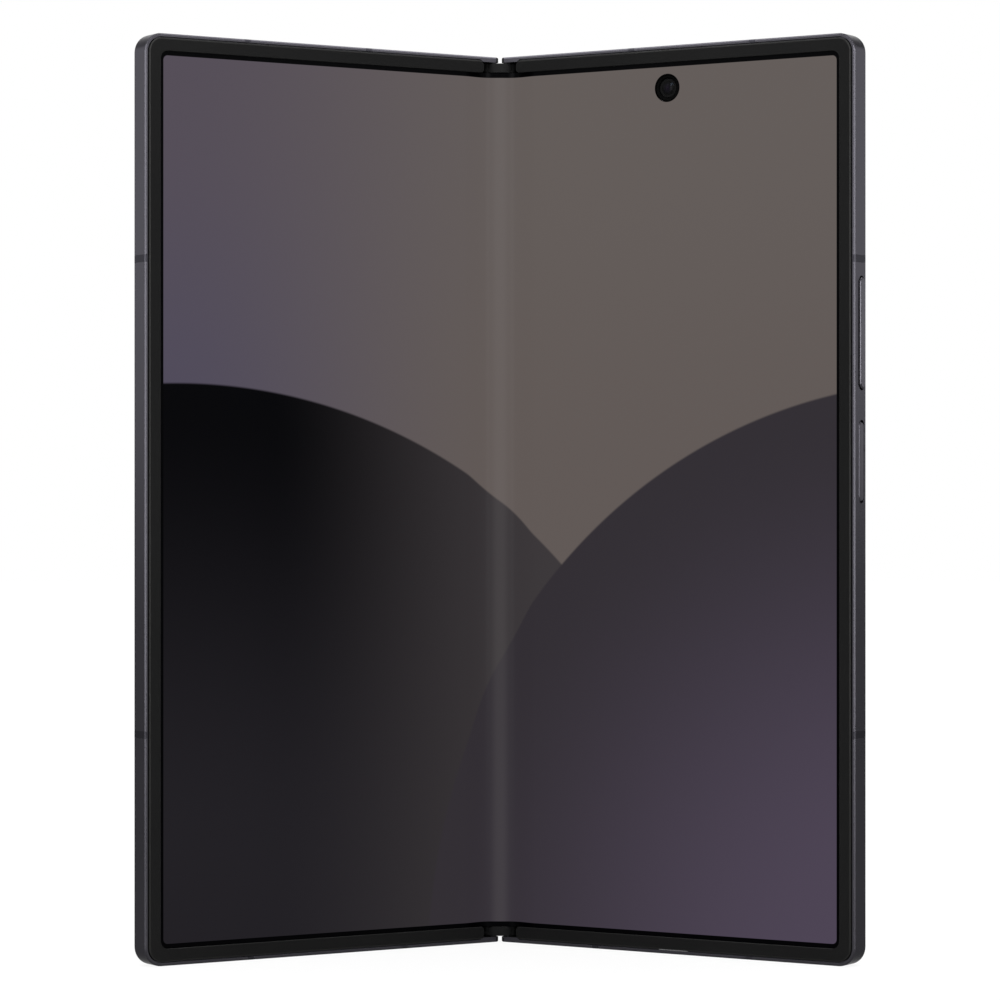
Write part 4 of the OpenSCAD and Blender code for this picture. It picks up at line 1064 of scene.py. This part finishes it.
# %% Slotted sheets behind the fold
for side in HALVES:
    mesh = grow(
        "fold_lattice_" + side,
        slotted,
        {
            "Width": FOLD_HALF,
            "Length": HEIGHT - 2 * STRIP_EDGE_Z,
            "Cells across": 16,
            "Cells along": 190,
            "Slot cells": 9,
            "Pitch cells": 11,
            "Thickness": 0.13,
            "Material": steel,
        },
    )
    to_half(mesh, side, bend=True, shift=(FOLD_HALF / 2, MID, SCREEN_T + 0.01))
    piece = new_piece("fold_lattice_" + side, mesh)
    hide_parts("fold_lattice")
    bend_with_hinge(piece)
    print(piece.name, len(mesh.polygons), "faces")

# %% [markdown]
# Two ribbon cables join the boards across the hinge. They dip behind the steel sheet and
# bend with it, so they are made as the screen's bending strip is.

# %% Ribbon cables
def ribbon_depth(s):
    u = np.clip(s / 7.6, 0, 1)
    return 0.62 + 0.95 * u * u * (3 - 2 * u)


for side in HALVES:
    for k, z in enumerate((MID - 18, MID + 18)):
        ribbon = bending_strip(
            f"ribbon_{side}_{k}", side, ribbon_depth, 0.12, 9.6, z - 6, z + 6, flex_film, across=24, along=2
        )
        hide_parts("hinge_flex")
        bend_with_hinge(ribbon)
print("ribbons done")

# %% [markdown]
# ## Floor and background
#
# The floor and the background are white to the camera and to anything that mirrors them.
# To light that falls on dull surfaces they are a weaker, plain grey, because white all
# round would wash the colours out. Near the phone the floor also shows a share of its own
# shading, and with it a faint shadow.


# %% Helper: which rays see white
def sees_white(tree):
    """1 for rays from the camera, from a mirror or through glass, 0 for the others."""
    path = tree.nodes.new("ShaderNodeLightPath")
    seen = calc(tree, "MAXIMUM", path.outputs["Is Camera Ray"], path.outputs["Is Glossy Ray"])
    return calc(tree, "MAXIMUM", seen, path.outputs["Is Transmission Ray"])


# %% Floor
SHADOW_NEAR, SHADOW_FAR = 0.12, 0.45
floor_material, floor_shader = shader_material("floor_white", Roughness=0.8, Base_Color=(0.6, 0.6, 0.6, 1))
tree = floor_material.node_tree
white = wire(tree, "ShaderNodeEmission", (1, 1, 1, 1), 1.02)
from_phone = wire(tree, "ShaderNodeVectorMath", wire(tree, "ShaderNodeTexCoord", out=3), operation="LENGTH", out=1)
fading = wire(
    tree, "ShaderNodeMapRange", from_phone, SHADOW_NEAR, SHADOW_FAR, 0.88, 1.0, interpolation_type="SMOOTHSTEP"
)
share = calc(tree, "MULTIPLY", sees_white(tree), fading)
mixed = wire(tree, "ShaderNodeMixShader", share, floor_shader.outputs[0], white)
tree.links.new(mixed, tree.nodes["Material Output"].inputs[0])
bpy.ops.mesh.primitive_plane_add(size=6, location=(0, 0, -0.00002))
floor = bpy.context.object
floor.name = "floor"
floor.data.materials.append(floor_material)
print("floor:", [round(v, 2) for v in floor.dimensions])

# %% World
world = bpy.data.worlds.new("studio")
bpy.context.scene.world = world
world.use_nodes = True
tree = world.node_tree
tree.nodes.clear()
white = wire(tree, "ShaderNodeBackground", (1, 1, 1, 1), 1.0)
soft = wire(tree, "ShaderNodeBackground", (0.97, 0.98, 1, 1), 0.36)
mixed = wire(tree, "ShaderNodeMixShader", sees_white(tree), soft, white)
output = tree.nodes.new("ShaderNodeOutputWorld")
tree.links.new(mixed, output.inputs[0])
print("world:", len(tree.nodes), "nodes")

# %% [markdown]
# ## Light
#
# Two kinds of surface need two kinds of light. Plastic and glass show the light that falls
# on them: the world and the panel above light them at a level at which a colour renders
# about as it is written, a little brighter at the top. Dyed metal shows what it mirrors,
# so each of its faces has a soft box where its mirror line ends: in front for the
# chamfers, at the sides and behind for the flat sides, high up behind for the top edge.
# The brightest ones, and the bright twin of the panel above, are for mirrors only.
# `radiance` is a lamp's brightness as a mirror shows it, whatever its size.


# %% Soft boxes
def soft_box(name, azimuth, elevation, distance, width, height, radiance):
    """A rectangular lamp that looks at the phone's middle. Azimuth 0 is in front, 90 to the right."""
    lamp = bpy.data.lights.new(name, "AREA")
    lamp.shape = "RECTANGLE"
    lamp.size, lamp.size_y = width, height
    lamp.energy = radiance * math.pi * width * height
    holder = bpy.data.objects.new(name, lamp)
    a, e = math.radians(azimuth), math.radians(elevation)
    away = Vector((math.sin(a) * math.cos(e), -math.cos(a) * math.cos(e), math.sin(e)))
    holder.location = Vector((0, 0, MID * MM)) + away * distance
    holder.rotation_euler = away.to_track_quat("Z", "Y").to_euler()
    holder.visible_camera = False
    bpy.context.scene.collection.objects.link(holder)
    return holder


# azimuth, elevation, distance, width, height, radiance
PAIRS = {
    "front_box": (25, 10, 0.55, 0.18, 0.44, 14.2),
    "side_box": (64, 20, 0.75, 0.2, 0.44, 3.1),
    "back_box": (116, 11.5, 0.9, 0.3, 0.34, 3.1),
    "corner_box": (155, 28, 0.9, 0.3, 0.2, 0.8),
    "top_box": (130, 58, 0.9, 0.35, 0.35, 9.0),
}
for side in (-1, 1):
    for name, (azimuth, *rest) in PAIRS.items():
        lamp = soft_box(f"{name}_{side}", azimuth * side, *rest)
        lamp.visible_diffuse = name != "front_box"

# %% Panel above
for name, radiance in (("ceiling_light", 3.2), ("ceiling_shine", 42.0)):
    panel = soft_box(name, 0, 90, 0.37, 0.6, 0.4, radiance)
    panel.location.y -= 0.15
    panel.rotation_euler = (0, 0, 0)
    panel.visible_glossy = name == "ceiling_shine"
    panel.visible_diffuse = name == "ceiling_light"

# %% [markdown]
# The glint in the inner camera's lens comes from a small bluish lamp. Its light is linked
# to the lens alone, so that it draws no second glint on the metal.

# %% Lamp for the lens
glint = soft_box("glint_box", -28, 41, 0.5, 0.12, 0.12, 55)
glint.visible_diffuse = False
glint.data.color = (0.6, 0.75, 1.0)
lens_only = bpy.data.collections.new("lens_only")
lens_only.objects.link(lens_cap)
glint.light_linking.receiver_collection = lens_only
print("lamps:", len(bpy.data.lights))
